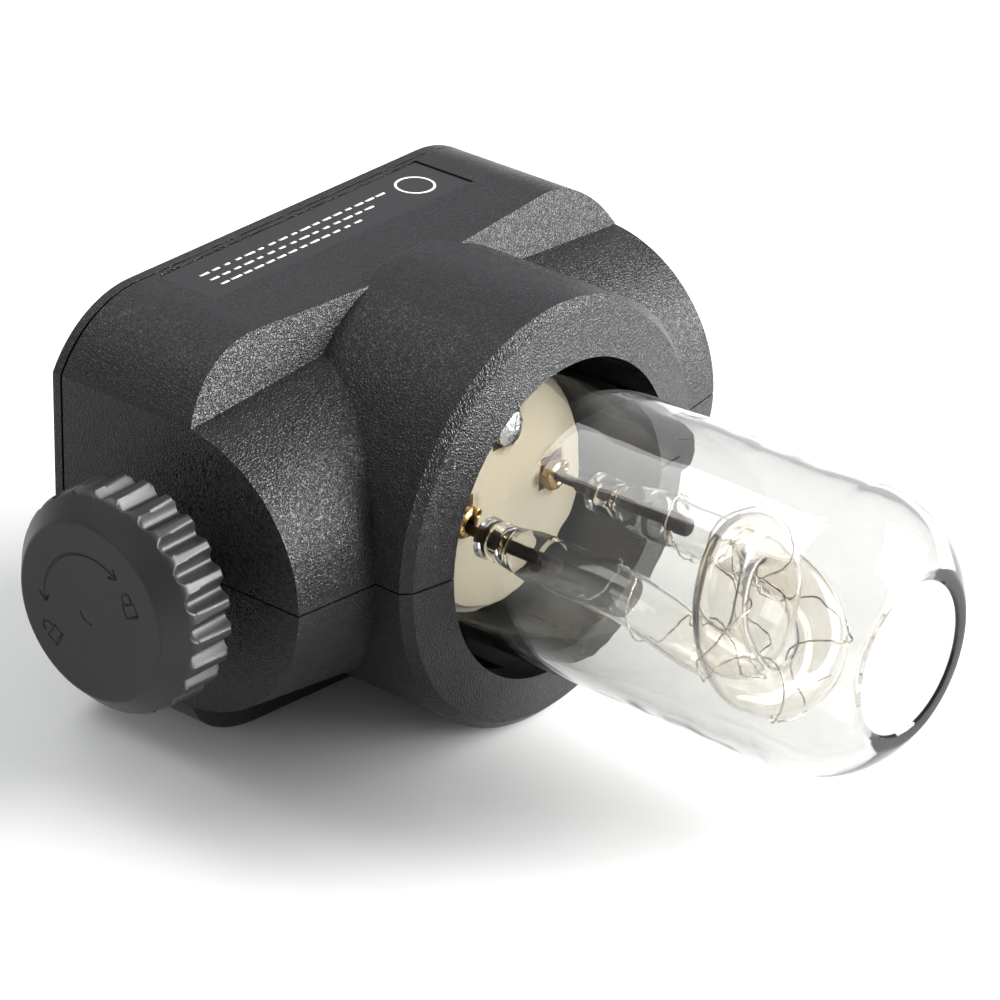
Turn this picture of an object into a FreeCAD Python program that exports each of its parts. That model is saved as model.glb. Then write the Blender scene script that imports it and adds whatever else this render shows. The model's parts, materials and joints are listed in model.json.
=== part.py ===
"""Bare-bulb flash head: a clamshell housing with a reflector ring, a side clamp and a plug-in flash tube.

Millimetres. The origin is the centre of the reflector mouth, on the lamp axis. The lamp looks along -Y,
+Y runs back to the rear plate, +Z is up and the clamp knob stands out along -X.
"""
import FreeCAD, Part
import math
import os
import re
import sys

import Sketcher

Vector = FreeCAD.Vector
Rotation = FreeCAD.Rotation

# ---------------------------------------------------------------- driving dimensions
DIMS = {
    # housing
    "body_width": 75.0,          # across the two side faces
    "body_height": 50.0,         # flat top to flat bottom
    "rear_plane": 43.0,          # mouth plane to rear face
    "crown_half": 25.0,          # half width of the flat top
    "crown_radius": 14.26,       # round between the top and the side faces
    "side_half": 17.6,           # half height of the flat side face
    "wall": 2.2,
    "parting_gap": 0.2,          # shadow line between the two shells
    "crease_depth": 20.75,       # mouth plane to the front edge of the flat top
    "crease_sweep": 0.10,        # the edge runs back by this much per unit of width
    "facet_slope": 0.36,         # the facet under it runs forward by this much per unit of drop
    "bulge_axis": 23.5,          # mouth plane to the clamp axis
    "bulge_taper": 0.12,
    # reflector ring
    "hub_radius": 26.2,
    "hub_back": 25.5,
    "hub_round": 3.0,
    "rim_chamfer": 1.1,
    "mouth_radius": 19.4,
    "lip_front": 1.1,            # the mouth edge stands this far in front of the rim
    "lip_depth": 2.4,
    # rear plate and its interface
    "plate_rim": 1.2,
    "rear_groove": 0.3,
    "plate_step": 2.4,
    "plate_fit": 0.15,
    "connector_width": 30.0,
    "connector_height": 12.0,
    "connector_stand": 6.0,
    "rail_spacing": 48.0,
    "rail_length": 32.0,
    "rail_stand": 4.5,
    "rail_sheet": 1.2,
    # label
    "label_width": 45.0,
    "label_depth": 9.2,
    "label_front": 31.8,
    "label_recess": 0.35,
    "label_sheet": 0.2,
    # guide sleeve
    "sleeve_bore": 20.4,
    "sleeve_wall": 1.5,
    "sleeve_back": 30.0,
    "sleeve_floor": 2.0,
    "rib_width": 1.2,
    # lamp
    "glass_radius": 16.75,
    "glass_wall": 1.3,
    "dome_front": 49.5,
    "dome_shoulder": 39.0,       # where the straight glass ends
    "dome_hole": 8.9,
    "dome_lip": 10.4,
    "dome_arc": 11.85,           # outside of the shoulder
    "dome_arc_inside": 11.06,
    "ceramic_face": 7.05,
    "ceramic_radius": 14.0,
    "ceramic_flange": 10.5,
    "ceramic_back": 15.0,
    "leg_offset": 8.0,
    "tube_radius": 3.1,
    "tube_bore": 2.1,
    "tube_end_wall": 1.6,
    "near_leg_end": 4.0,
    "near_leg_drop": 0.8,
    "far_leg_end": 0.9,
    "electrode_radius": 1.15,
    "pin_radius": 1.15,
    "pin_circle": 9.0,
    "pin_reach": 7.0,
    "running_gap": 0.05,
    # socket
    "socket_front": 15.4,
    "socket_radius": 15.6,
    # clamp
    "knob_face": 52.0,
    "knob_back": 43.3,
    "knob_radius": 13.4,
    "knob_neck": 40.3,
    "knob_neck_radius": 9.0,
    "flute_radius": 1.6,
    "flute_start": 2.0,          # the flutes stop this far behind the knob's face
    "screw_radius": 2.95,
    "screw_end": 24.6,
    "pad_radius": 4.0,
    "pad_face": 20.6,
    "pad_back": 24.3,
    "clamp_travel": 2.0,
    # board
    "board_width": 42.0,
    "board_height": 30.0,
    "board_sheet": 1.6,
    "board_front": 33.6,
}
FLUTES = 24
SLEEVE_RIBS = 12

doc = FreeCAD.newDocument("flash_head")
sheet = doc.addObject("Spreadsheet::Sheet", "dims")
for row, (alias, size) in enumerate(DIMS.items(), start=1):
    sheet.set("A%d" % row, alias)
    sheet.set("B%d" % row, str(size))
    sheet.setAlias("B%d" % row, alias)
doc.recompute()

TURNS = {
    "x": Rotation(Vector(0, 1, 0), 90),
    "y": Rotation(Vector(1, 0, 0), -90),
    "z": Rotation(),
}
nodes = []


# ---------------------------------------------------------------- helpers
def linked(text):
    """Turn the words of a size into references to the sheet."""
    return re.sub(r"[a-z][a-z_]+", lambda word: "dims." + word[0] if word[0] in DIMS else word[0], str(text))


def number(text):
    """The value of a size written in the sheet's words."""
    return float(sheet.evalExpression(linked(text)))


def bind(thing, **sizes):
    """Bind properties to sizes; a double underscore in a name stands for a dot."""
    for name, text in sizes.items():
        thing.setExpression(name.replace("__", "."), linked(text))
    return thing


def place(thing, at, turn=None):
    """Put a primitive at a point given in the sheet's words."""
    thing.Placement = FreeCAD.Placement(Vector(), turn or Rotation())
    for axis, text in zip("xyz", at):
        if str(text) != "0":
            thing.setExpression("Placement.Base." + axis, linked(text))
    return thing


def cylinder(axis, radius, length, at):
    """A cylinder that starts at a point and runs along +axis."""
    thing = bind(doc.addObject("Part::Cylinder", "rod"), Radius=radius, Height=length)
    return place(thing, at, TURNS[axis])


def cone(axis, radius_start, radius_end, length, at):
    """A cone that starts at a point and runs along +axis."""
    thing = bind(doc.addObject("Part::Cone", "taper"), Radius1=radius_start, Radius2=radius_end, Height=length)
    return place(thing, at, TURNS[axis])


def ring(axis, radius, section, at):
    """A torus about an axis through a point."""
    thing = bind(doc.addObject("Part::Torus", "ring"), Radius1=radius, Radius2=section)
    return place(thing, at, TURNS[axis])


def box(size, at, turn=None):
    """A box with its low corner at a point."""
    thing = bind(doc.addObject("Part::Box", "block"), Length=size[0], Width=size[1], Height=size[2])
    return place(thing, at, turn)


def middle_box(size, centre):
    """A box centred on a point."""
    low = ["(%s) - (%s)/2" % (middle, length) for middle, length in zip(centre, size)]
    return box(size, low)


def fuse(*shapes):
    if len(shapes) == 1:
        return shapes[0]
    thing = doc.addObject("Part::MultiFuse", "joined")
    thing.Shapes = list(shapes)
    return thing


def common(*shapes):
    thing = doc.addObject("Part::MultiCommon", "shared")
    thing.Shapes = list(shapes)
    return thing


def cut(base, *tools):
    thing = doc.addObject("Part::Cut", "cutaway")
    thing.Base = base
    thing.Tool = fuse(*tools)
    return thing


def group(*shapes):
    """Separate solids that share one node."""
    thing = doc.addObject("Part::Compound", "group")
    thing.Links = list(shapes)
    return thing


def node(thing, label):
    """Name a finished sub-part."""
    thing.Label = label
    nodes.append(thing)
    return thing


def new_body(name):
    return doc.addObject("PartDesign::Body", name)


def plane_of(body, role):
    return [feature for feature in body.Origin.OriginFeatures if feature.Role == role][0]


def new_sketch(body, role, offset="0"):
    """A sketch on one of the body's own planes, moved along the plane's normal."""
    sketch = body.newObject("Sketcher::SketchObject", "sketch")
    sketch.AttachmentSupport = [(plane_of(body, role), "")]
    sketch.MapMode = "FlatFace"
    if str(offset) != "0":
        sketch.setExpression("AttachmentOffset.Base.z", linked(offset))
    return sketch


def pin_point(sketch, geometry, end, x, y):
    """Fix a sketch point at a place given in the sheet's words."""
    for kind, text, axis in (("DistanceX", x, -2), ("DistanceY", y, -1)):
        value = number(text)
        if abs(value) < 1e-9:
            sketch.addConstraint(Sketcher.Constraint("PointOnObject", geometry, end, axis))
            continue
        index = sketch.addConstraint(Sketcher.Constraint(kind, -1, 1, geometry, end, value))
        sketch.setExpression("Constraints[%d]" % index, linked(text))


def arc_between(start, end, radius):
    """The minor arc between two points; a negative radius bulges to the other side."""
    chord = end - start
    half = chord.Length / 2
    side = Vector(-chord.y, chord.x, 0).normalize()
    height = math.sqrt(max(radius * radius - half * half, 0.0))
    centre = start + chord * 0.5 + side * (height if radius > 0 else -height)
    bow = (start + chord * 0.5 - centre)
    if bow.Length < 1e-9:
        bow = side * (-1 if radius > 0 else 1)
    middle = centre + bow.normalize() * abs(radius)
    return Part.Arc(start, middle, end)


def outline(sketch, corners):
    """A closed outline: each corner is (x, y) or (x, y, radius of the arc that leads to it)."""
    points = [Vector(number(corner[0]), number(corner[1]), 0) for corner in corners]
    count = len(corners)
    first = sketch.GeometryCount
    for index in range(count):
        start, end = points[index - 1], points[index]
        if len(corners[index]) == 3:
            sketch.addGeometry(arc_between(start, end, number(corners[index][2])), False)
        else:
            sketch.addGeometry(Part.LineSegment(start, end), False)
    for index in range(count):
        geometry = first + index
        start_end = near_ends(sketch, geometry, points[index - 1])
        pin_point(sketch, geometry, start_end[0], corners[index - 1][0], corners[index - 1][1])
        pin_point(sketch, geometry, start_end[1], corners[index][0], corners[index][1])
        if len(corners[index]) == 3:
            radius = corners[index][2]
            value = abs(number(radius))
            row_index = sketch.addConstraint(Sketcher.Constraint("Radius", geometry, value))
            sketch.setExpression("Constraints[%d]" % row_index, "abs(%s)" % linked(radius))
    return sketch


def near_ends(sketch, geometry, start):
    """Which end of a sketch line or arc is its start: arcs run anticlockwise whatever they were given."""
    if sketch.getPoint(geometry, 1).distanceToPoint(start) < 1e-4:
        return 1, 2
    return 2, 1


def circle(sketch, x, y, radius):
    place_at = Vector(number(x), number(y), 0)
    index = sketch.addGeometry(Part.Circle(place_at, Vector(0, 0, 1), number(radius)), False)
    pin_point(sketch, index, 3, x, y)
    row_index = sketch.addConstraint(Sketcher.Constraint("Radius", index, number(radius)))
    sketch.setExpression("Constraints[%d]" % row_index, linked(radius))
    return sketch


def pad(body, sketch, length, reverse=False):
    feature = body.newObject("PartDesign::Pad", "pad")
    feature.Profile = sketch
    feature.Reversed = reverse
    bind(feature, Length=length)
    return feature


def pocket(body, sketch, depth, reverse=False):
    """A pocket that has to take material away."""
    before = body.Shape.Volume
    feature = body.newObject("PartDesign::Pocket", "pocket")
    feature.Profile = sketch
    feature.Reversed = reverse
    bind(feature, Length=depth)
    doc.recompute()
    if body.Shape.Volume > before - 1e-3:
        raise RuntimeError("a pocket in %s cuts nothing" % body.Label)
    return feature


def turned(name, role, axis, corners):
    """A body turned about a sketch axis from half its section."""
    body = new_body(name)
    sketch = outline(new_sketch(body, role), corners)
    feature = body.newObject("PartDesign::Revolution", "turning")
    feature.Profile = sketch
    feature.ReferenceAxis = (sketch, [axis])
    feature.Angle = 360
    return body


def around(count, start=0.0):
    """Evenly spaced angles, in degrees."""
    return [start + 360.0 * index / count for index in range(count)]


# ---------------------------------------------------------------- housing
def block_form(inset):
    """The rear block: flat top, side faces and swept-back facets, moved in by an inset."""
    body = new_body("block")
    sections = []
    for station in ("-body_width/2", "0", "body_width/2"):
        sketch = new_sketch(body, "YZ_Plane", station)
        crease = "crease_depth + crease_sweep * abs(%s) + %s" % (station, inset)
        half = "(body_height/2 - %s)" % inset
        nose = "%s - facet_slope * %s" % (crease, half)
        rear = "rear_plane - plate_rim - rear_groove"
        outline(sketch, [(rear, "-" + half), (rear, half), (crease, half), (nose, "0"), (crease, "-" + half)])
        sections.append(sketch)
    loft = body.newObject("PartDesign::AdditiveLoft", "loft")
    loft.Profile = sections[0]
    loft.Sections = sections[1:]
    loft.Ruled = True
    return body


def crown_form(inset, front, back):
    """The housing's section, seen from behind, as a bar along Y."""
    body = new_body("crown")
    side, top = "(body_width/2 - %s)" % inset, "(body_height/2 - %s)" % inset
    turn = "(crown_radius - %s)" % inset
    # the inner section keeps the centres of the outer rounds
    rise = "(body_height/2 - crown_radius + sqrt(%s ^ 2 - (%s - crown_half) ^ 2))" % (turn, side)
    sketch = new_sketch(body, "XZ_Plane", "-(%s)" % back)
    outline(sketch, crown_outline(side, top, turn, rise))
    pad(body, sketch, "(%s) - (%s)" % (back, front))
    return body


def bulge_form(inset):
    """The half round front that carries the clamp, a little fuller towards the ring."""
    reach = "(body_width/2 - %s)" % inset
    small = "side_half - %s" % inset
    large = "side_half - %s + bulge_taper * body_width/2" % inset
    cones = fuse(cone("x", small, large, reach, ("-" + reach, "bulge_axis", "0")),
                 cone("x", large, small, reach, ("0", "bulge_axis", "0")))
    return common(cones, middle_box(("body_width", "bulge_axis", "body_height"), ("0", "bulge_axis/2", "0")))


def hub_form():
    """The ring's outer form, chamfered at the rim and rounded where it runs into the flat top."""
    rim = "hub_radius - rim_chamfer"
    return turned("hub", "XY_Plane", "V_Axis", [
        ("0", "-lip_front"), ("mouth_radius", "-lip_front"), (rim, "0"), ("hub_radius", "rim_chamfer"),
        ("hub_radius", "hub_back - hub_round"), ("hub_radius - hub_round", "hub_back", "hub_round"),
        ("0", "hub_back"),
    ])


def shell_walls():
    """The whole housing before it is parted: walls, screw posts and openings."""
    rear = "rear_plane - plate_rim - rear_groove"
    outer = fuse(common(block_form("0"), crown_form("0", "0", rear)), bulge_form("0"), hub_form())
    hollow = fuse(
        common(block_form("wall"), crown_form("wall", "0", "rear_plane")),
        bulge_form("wall"),
        cylinder("y", "hub_radius - wall", "hub_back - lip_depth", ("0", "lip_depth", "0")),
        cylinder("y", "mouth_radius", "lip_depth + 2", ("0", "-2", "0")),
    )
    posts = [cylinder("z", "3", "body_height", (x, y, "-body_height/2")) for x, y in CASE_POSTS]
    posts += [cylinder("y", "2.8", "9", (x, "rear_plane - 13.2", z)) for x, z in REAR_POSTS]
    posts.append(sleeve_seat())
    posts.append(cylinder("x", "7.0", "6.0", ("-body_width/2", "bulge_axis", "0")))
    walls = fuse(cut(outer, hollow), common(fuse(*posts), outer))
    label = middle_box(("label_width", "label_depth", "2 * label_recess"),
                       ("0", "label_front + label_depth/2", "body_height/2"))
    bores = [cylinder("y", "0.9", "9", (x, "rear_plane - 11.2", z)) for x, z in REAR_POSTS]
    plug = cylinder("x", "4.6", "20", ("-body_width/2 - 2", "bulge_axis", "0"))
    flange = cylinder("x", "6.2", "1.5", ("-body_width/2 + 2.3", "bulge_axis", "0"))
    return cut(walls, label, plug, flange, *bores)


def sleeve_seat():
    """Two inner hoops that hold the guide sleeve."""
    hoops = []
    for y in ("6", "21"):
        outer = cylinder("y", "hub_radius - wall + 0.5", "2", ("0", y, "0"))
        hoops.append(cut(outer, cylinder("y", "sleeve_bore + sleeve_wall + 0.06", "4", ("0", y + " - 1", "0"))))
    return fuse(*hoops)


CASE_POSTS = [("-26", "36.2"), ("26", "36.2"), ("-30", "15"), ("30", "15")]
REAR_POSTS = [("-33", "10"), ("33", "10"), ("-33", "-10"), ("33", "-10")]


def shells():
    walls = shell_walls()
    half = ("body_width + 4", "rear_plane + 8", "body_height")
    upper = box(half, ("-body_width/2 - 2", "-4", "parting_gap/2"))
    lower = box(half, ("-body_width/2 - 2", "-4", "-body_height - parting_gap/2"))
    pilots = [cylinder("z", "1.0", "12", (x, y, "0")) for x, y in CASE_POSTS]
    shanks = [cylinder("z", "1.4", "body_height/2", (x, y, "-body_height/2")) for x, y in CASE_POSTS]
    wells = [cylinder("z", "2.5", "body_height/2 - 6.1", (x, y, "-body_height/2 - 2")) for x, y in CASE_POSTS]
    node(cut(common(walls, upper), *pilots), "upper_shell")
    node(cut(common(walls, lower), *(shanks + wells)), "lower_shell")


def direction(axis):
    """A unit vector along a named axis, such as "-z"."""
    step = {"x": Vector(1, 0, 0), "y": Vector(0, 1, 0), "z": Vector(0, 0, 1)}[axis[-1]]
    return step * -1 if axis[0] == "-" else step


def screw(axis, at, head_radius, head_length, shank_radius, shank_length):
    """A pan head screw with a cross recess: the top of its head is at a point, its shank runs along an axis."""
    under, end = head_length, "(%s + %s)" % (head_length, shank_length)
    body = turned("screw", "XZ_Plane", "V_Axis", [
        ("0", "0"), ("%s * 0.7" % head_radius, "0"), (head_radius, "%s * 0.45" % head_length),
        (head_radius, under), (shank_radius, under), (shank_radius, "%s - %s * 0.5" % (end, shank_radius)),
        ("%s * 0.6" % shank_radius, end), ("0", end),
    ])
    doc.recompute()
    arm, web = "%s * 0.6" % head_radius, "%s * 0.14" % head_radius
    recess = outline(new_sketch(body, "XY_Plane"), [
        (arm, "-" + web), (arm, web), (web, web), (web, arm), ("-" + web, arm), ("-" + web, web),
        ("-" + arm, web), ("-" + arm, "-" + web), ("-" + web, "-" + web), ("-" + web, "-" + arm),
        (web, "-" + arm), (web, "-" + web),
    ])
    pocket(body, recess, "%s * 0.55" % head_length, reverse=True)
    return place(body, at, Rotation(Vector(0, 0, 1), direction(axis)))


def label_plate():
    node(middle_box(("label_width - 0.4", "label_depth - 0.4", "label_sheet"),
                    ("0", "label_front + label_depth/2", "body_height/2 - label_recess + label_sheet/2")),
         "label_plate")


def rear_plate():
    """The rear cover: a rim that closes the shells, a step that fits inside them and the connector window."""
    body = new_body("plate")
    inset = "(wall + plate_fit)"
    for gap, front, back in (("0", "rear_plane - plate_rim", "rear_plane"),
                             (inset, "rear_plane - plate_rim - plate_step", "rear_plane - plate_rim")):
        side, top, turn = "(body_width/2 - %s)" % gap, "(body_height/2 - %s)" % gap, "(crown_radius - %s)" % gap
        rise = "(body_height/2 - crown_radius + sqrt(%s ^ 2 - (%s - crown_half) ^ 2))" % (turn, side)
        sketch = outline(new_sketch(body, "XZ_Plane", "-(%s)" % back), crown_outline(side, top, turn, rise))
        pad(body, sketch, "(%s) - (%s)" % (back, front))
    doc.recompute()
    window = new_sketch(body, "XZ_Plane", "-rear_plane - 1")
    half_w, half_h = "(connector_width/2 + 0.15)", "(connector_height/2 + 0.15)"
    outline(window, [(half_w, "-" + half_h), (half_w, half_h), ("-" + half_w, half_h), ("-" + half_w, "-" + half_h)])
    pocket(body, window, "10", reverse=True)
    holes = new_sketch(body, "XZ_Plane", "-rear_plane - 1")
    for x, z in REAR_POSTS:
        circle(holes, x, z, "1.3")
    for x in RAIL_X:
        for z in RAIL_SCREW_Z:
            circle(holes, x, z, "0.9")
    pocket(body, holes, "10", reverse=True)
    wells = new_sketch(body, "XZ_Plane", "-rear_plane - 1")
    for x, z in REAR_POSTS:
        circle(wells, x, z, "2.4")
    pocket(body, wells, "2.4", reverse=True)
    doc.recompute()
    posts = new_sketch(body, "XZ_Plane", "-(rear_plane - plate_rim - plate_step)")
    for x, z in BOARD_SCREWS:
        circle(posts, x, z, "2.4")
        circle(posts, x, z, "0.9")
    pad(body, posts, "rear_plane - plate_rim - plate_step - board_front - board_sheet")
    node(body, "rear_plate")


def crown_outline(side, top, turn, rise):
    """The housing's section: flat top and bottom, rounds that meet the flat side faces at an edge."""
    return [
        ("crown_half", top), (side, rise, "-" + turn), (side, "-" + rise), ("crown_half", "-" + top, "-" + turn),
        ("-crown_half", "-" + top), ("-" + side, "-" + rise, "-" + turn), ("-" + side, rise),
        ("-crown_half", top, "-" + turn),
    ]


RAIL_X = ["rail_spacing/2", "-rail_spacing/2"]
RAIL_SCREW_Z = ["-11", "11"]


def hook_rails():
    """Two folded steel rails on the rear plate; the power pack's slides run under their outward lips."""
    rails = []
    for x, sign in (("rail_spacing/2", "1"), ("-rail_spacing/2", "-1")):
        base = middle_box(("8", "rail_sheet", "rail_length"), (x, "rear_plane + rail_sheet/2", "0"))
        web = middle_box(("rail_sheet", "rail_stand", "rail_length"),
                         ("%s + %s * (4 - rail_sheet/2)" % (x, sign), "rear_plane + rail_stand/2", "0"))
        lip = middle_box(("3.2", "rail_sheet", "rail_length"),
                         ("%s + %s * 5.0" % (x, sign), "rear_plane + rail_stand - rail_sheet/2", "0"))
        holes = [cylinder("y", "1.3", "6", (x, "rear_plane - 2", z)) for z in RAIL_SCREW_Z]
        rails.append(cut(fuse(base, web, lip), *holes))
    node(group(*rails), "hook_rails")
    node(group(*[screw("-y", (x, "rear_plane + rail_sheet + 1.2", z), "2.1", "1.2", "0.88", "4.2")
                 for x in RAIL_X for z in RAIL_SCREW_Z]), "rail_screws")


def housing_screws():
    node(group(*[screw("-y", (x, "rear_plane - 0.1", z), "2.2", "1.2", "0.88", "8") for x, z in REAR_POSTS]),
         "rear_screws")
    node(group(*[screw("z", (x, y, "-9.6"), "2.3", "1.5", "0.98", "15") for x, y in CASE_POSTS]), "case_screws")


def connector():
    """The shrouded block on the rear: two blade contacts and six signal pins stand in its wells."""
    back = "rear_plane + connector_stand"
    front = "board_front + board_sheet"
    block = middle_box(("connector_width", "%s - (%s)" % (back, front), "connector_height"),
                       ("0", "(%s + %s)/2" % (back, front), "0"))
    flange = middle_box(("connector_width + 4", "2", "connector_height + 4"),
                        ("0", "rear_plane - plate_rim - plate_step - 1", "0"))
    wells = [middle_box(("4.4", "5.2 * 2", "9"), (x, back, "0")) for x in BLADE_X]
    wells.append(middle_box(("8.6", "5.2 * 2", "6.2"), ("0", back, "0")))
    slots = [middle_box(("1.2", "40", "6"), (x, "rear_plane", "0")) for x in BLADE_X]
    bores = [cylinder("y", "0.5", "40", (x, "rear_plane - 20", z)) for x, z in SIGNAL_PINS]
    node(cut(fuse(block, flange), *(wells + slots + bores)), "connector_block")
    blade_length = "rear_plane + connector_stand - 0.8 - board_front + 1.2"
    blades = [middle_box(("1.2", blade_length, "6"), (x, "%s - 0.8 - (%s)/2" % (back, blade_length), "0"))
              for x in BLADE_X]
    node(group(*blades), "power_blades")
    node(group(*[cylinder("y", "0.5", blade_length, (x, "%s - 0.8 - (%s)" % (back, blade_length), z))
                 for x, z in SIGNAL_PINS]), "signal_pins")


BLADE_X = ["-9.6", "9.6"]
SIGNAL_PINS = [(x, z) for x in ("-2.54", "0", "2.54") for z in ("-1.27", "1.27")]


# ---------------------------------------------------------------- inside the ring
def guide_sleeve():
    """The cup behind the mouth: ribs centre the reflector's stem and windows let the heat out."""
    front, back = "lip_depth", "sleeve_back"
    outer = "sleeve_bore + sleeve_wall"
    length = "%s - %s" % (back, front)
    tube = cut(cylinder("y", outer, length, ("0", front, "0")),
               cylinder("y", "sleeve_bore", "%s - sleeve_floor + 1" % length, ("0", front + " - 1", "0")))
    ribs = []
    for angle in around(SLEEVE_RIBS, 15.0):
        rib = box(("sleeve_wall + sleeve_bore - mouth_radius - 0.3", "%s - 2" % length, "rib_width"),
                  ("mouth_radius * cos(%s deg) + rib_width/2 * sin(%s deg)" % (angle, angle), front,
                   "mouth_radius * sin(%s deg) - rib_width/2 * cos(%s deg)" % (angle, angle)),
                  Rotation(Vector(0, 1, 0), -angle))
        ribs.append(rib)
    windows = [box(("6", "8", "6"), ("21 * cos(%s deg) + 3 * sin(%s deg) - 3 * cos(%s deg)" % (a, a, a), "12",
                                     "21 * sin(%s deg) - 3 * cos(%s deg) - 3 * sin(%s deg)" % (a, a, a)),
                   Rotation(Vector(0, 1, 0), -a)) for a in around(6, 30.0)]
    pad_way = cylinder("x", "pad_radius + 0.3", "8", ("-25", "bulge_axis", "0"))
    holes = [cylinder("y", "1.3", "6", (x, "sleeve_back - 4", z)) for x, z in SOCKET_SCREWS]
    holes += [cylinder("y", "2.6", "6", ("pin_circle * cos(%s deg)" % a, "sleeve_back - 4",
                                         "pin_circle * sin(%s deg)" % a)) for a in PIN_ANGLES]
    node(cut(fuse(tube, *ribs), pad_way, *(windows + holes)), "guide_sleeve")


PIN_ANGLES = [90.0, 210.0, 330.0]
SOCKET_SCREWS = [("0", "-11"), ("0", "-4")]


def pin_place(angle):
    return "pin_circle * cos(%s deg)" % angle, "pin_circle * sin(%s deg)" % angle


def lamp_socket():
    """The socket block, its three contact sleeves and its two screws."""
    floor = "sleeve_back - sleeve_floor"
    block = cylinder("y", "socket_radius", "%s - socket_front" % floor, ("0", "socket_front", "0"))
    bores = []
    for angle in PIN_ANGLES:
        x, z = pin_place(angle)
        bores.append(cylinder("y", "2.0", "40", (x, "socket_front - 5", z)))
    pilots = [cylinder("y", "0.9", "6", (x, floor + " - 6", z)) for x, z in SOCKET_SCREWS]
    node(cut(block, *(bores + pilots)), "lamp_socket")
    contacts = []
    for angle in PIN_ANGLES:
        x, z = pin_place(angle)
        contacts.append(cut(cylinder("y", "2.0", "14.8", (x, "socket_front + 0.4", z)),
                            cylinder("y", "pin_radius + running_gap", "10", (x, "socket_front - 1", z))))
    node(group(*contacts), "socket_contacts")
    node(group(*[screw("-y", (x, "sleeve_back + 1.2", z), "2.1", "1.2", "0.88", "7") for x, z in SOCKET_SCREWS]),
         "socket_screws")


# ---------------------------------------------------------------- plug-in lamp
def ceramic_base():
    """The glazed ceramic disc: front face with stained recesses, flange behind the dome, three plug pins."""
    disc = turned("ceramic", "XY_Plane", "V_Axis", [
        ("0", "ceramic_face"), ("ceramic_radius - 0.4", "ceramic_face"), ("ceramic_radius", "ceramic_face + 0.4"),
        ("ceramic_radius", "ceramic_flange"), ("glass_radius", "ceramic_flange"),
        ("glass_radius", "ceramic_back"), ("0", "ceramic_back"),
    ])
    recesses = [middle_box((w, "2.4", d), (x, "ceramic_face", z)) for x, z, w, d in CERAMIC_RECESSES]
    bores = [cylinder("y", "1.6", "6", (x, "ceramic_face - 1", z)) for x, z in EYELETS]
    pins = [cylinder("y", "pin_radius", "6", pin_place(a)[:1] + ("ceramic_back - 3",) + pin_place(a)[1:])
            for a in PIN_ANGLES]
    node(cut(disc, *(recesses + bores + pins)), "ceramic_base")
    plugs = []
    for angle in PIN_ANGLES:
        x, z = pin_place(angle)
        plugs.append(fuse(cylinder("y", "pin_radius", "pin_reach + 2", (x, "ceramic_back - 3", z)),
                          cone("y", "pin_radius", "0.5", "0.9", (x, "ceramic_back + pin_reach - 1", z))))
    node(group(*plugs), "base_pins")


EYELETS = [("leg_offset", "0"), ("-leg_offset", "0"), ("-0.4", "8.9")]
CERAMIC_RECESSES = [("leg_offset", "0.4", "4.0", "4.4"), ("-leg_offset", "0.4", "4.0", "4.4"),
                    ("-0.4", "8.9", "4.6", "4.6")]


def glass_dome():
    """The open-ended dome: straight wall, round shoulder and a fire-polished mouth."""
    inner = "(glass_radius - glass_wall)"
    round_out = "(dome_front - dome_shoulder)"
    body = turned("dome", "XY_Plane", "V_Axis", [
        (inner, "ceramic_flange"), ("glass_radius", "ceramic_flange"), ("glass_radius", "-dome_shoulder"),
        ("dome_lip", "-dome_front", "-dome_arc"), ("dome_hole", "-dome_front + 0.4"),
        (inner, "-dome_shoulder", "dome_arc_inside"),
    ])
    node(body, "glass_dome")
    cement = cut(cylinder("y", inner + " - 0.05", "1.4", ("0", "ceramic_flange - 1.4", "0")),
                 cylinder("y", "ceramic_radius", "4", ("0", "ceramic_flange - 3", "0")))
    node(cement, "cement_ring")


def path_edges(points):
    """Straight runs joined by tangent arcs, each arc as large as its two runs allow."""
    edges, start = [], points[0]
    for before, corner, after in zip(points, points[1:], points[2:]):
        arrive, leave = (corner - before), (after - corner)
        turn = arrive.getAngle(leave)
        reach = 0.45 * min(arrive.Length, leave.Length)
        enter, depart = corner - arrive.normalize() * reach, corner + leave.normalize() * reach
        inward = (leave - arrive).normalize()
        radius = reach / math.tan(turn / 2)
        middle = corner + inward * (radius / math.cos(turn / 2) - radius)
        edges.append(Part.LineSegment(start, enter).toShape())
        edges.append(Part.Arc(enter, middle, depart).toShape())
        start = depart
    edges.append(Part.LineSegment(start, points[-1]).toShape())
    return edges


def pipe(label, points, radius):
    """A round bar swept along a path through points, checked against its section times its length."""
    points = [Vector(*point) for point in points]
    path = Part.Wire(path_edges(points))
    ring_edge = Part.Circle(points[0], points[1] - points[0], radius).toShape()
    shape = path.makePipeShell([Part.Wire([ring_edge])], True, False)
    expected = math.pi * radius * radius * path.Length
    if abs(shape.Volume - expected) > 0.02 * expected:
        raise RuntimeError("%s swept to %.1f, not %.1f cubic millimetres" % (label, shape.Volume, expected))
    thing = doc.addObject("Part::Feature", label)
    thing.Shape = shape
    return thing


def tube_route(end_wall):
    """The bent tube from the end of the near leg round the coil to the end of the far leg."""
    offset = number("leg_offset")
    bends = [(-6.8, -25.5, -3.6), (-1.6, -28.0, -5.8), (1.9, -28.4, -2.6), (2.0, -28.6, 2.8), (-1.6, -28.8, 7.4),
             (-6.5, -29.6, 5.2), (-8.3, -30.8, 0.0), (-6.3, -32.6, -5.4), (-0.5, -34.2, -8.2), (5.6, -33.6, -6.4),
             (8.2, -30.6, -1.4)]
    near, far = number("near_leg_end"), number("far_leg_end")
    drop = number("near_leg_drop")
    return ([(-offset, near - end_wall, -drop), (-offset, -19.0, -drop)] + bends
            + [(offset, -24.0, 0.0), (offset, far - end_wall, 0.0)])


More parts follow.
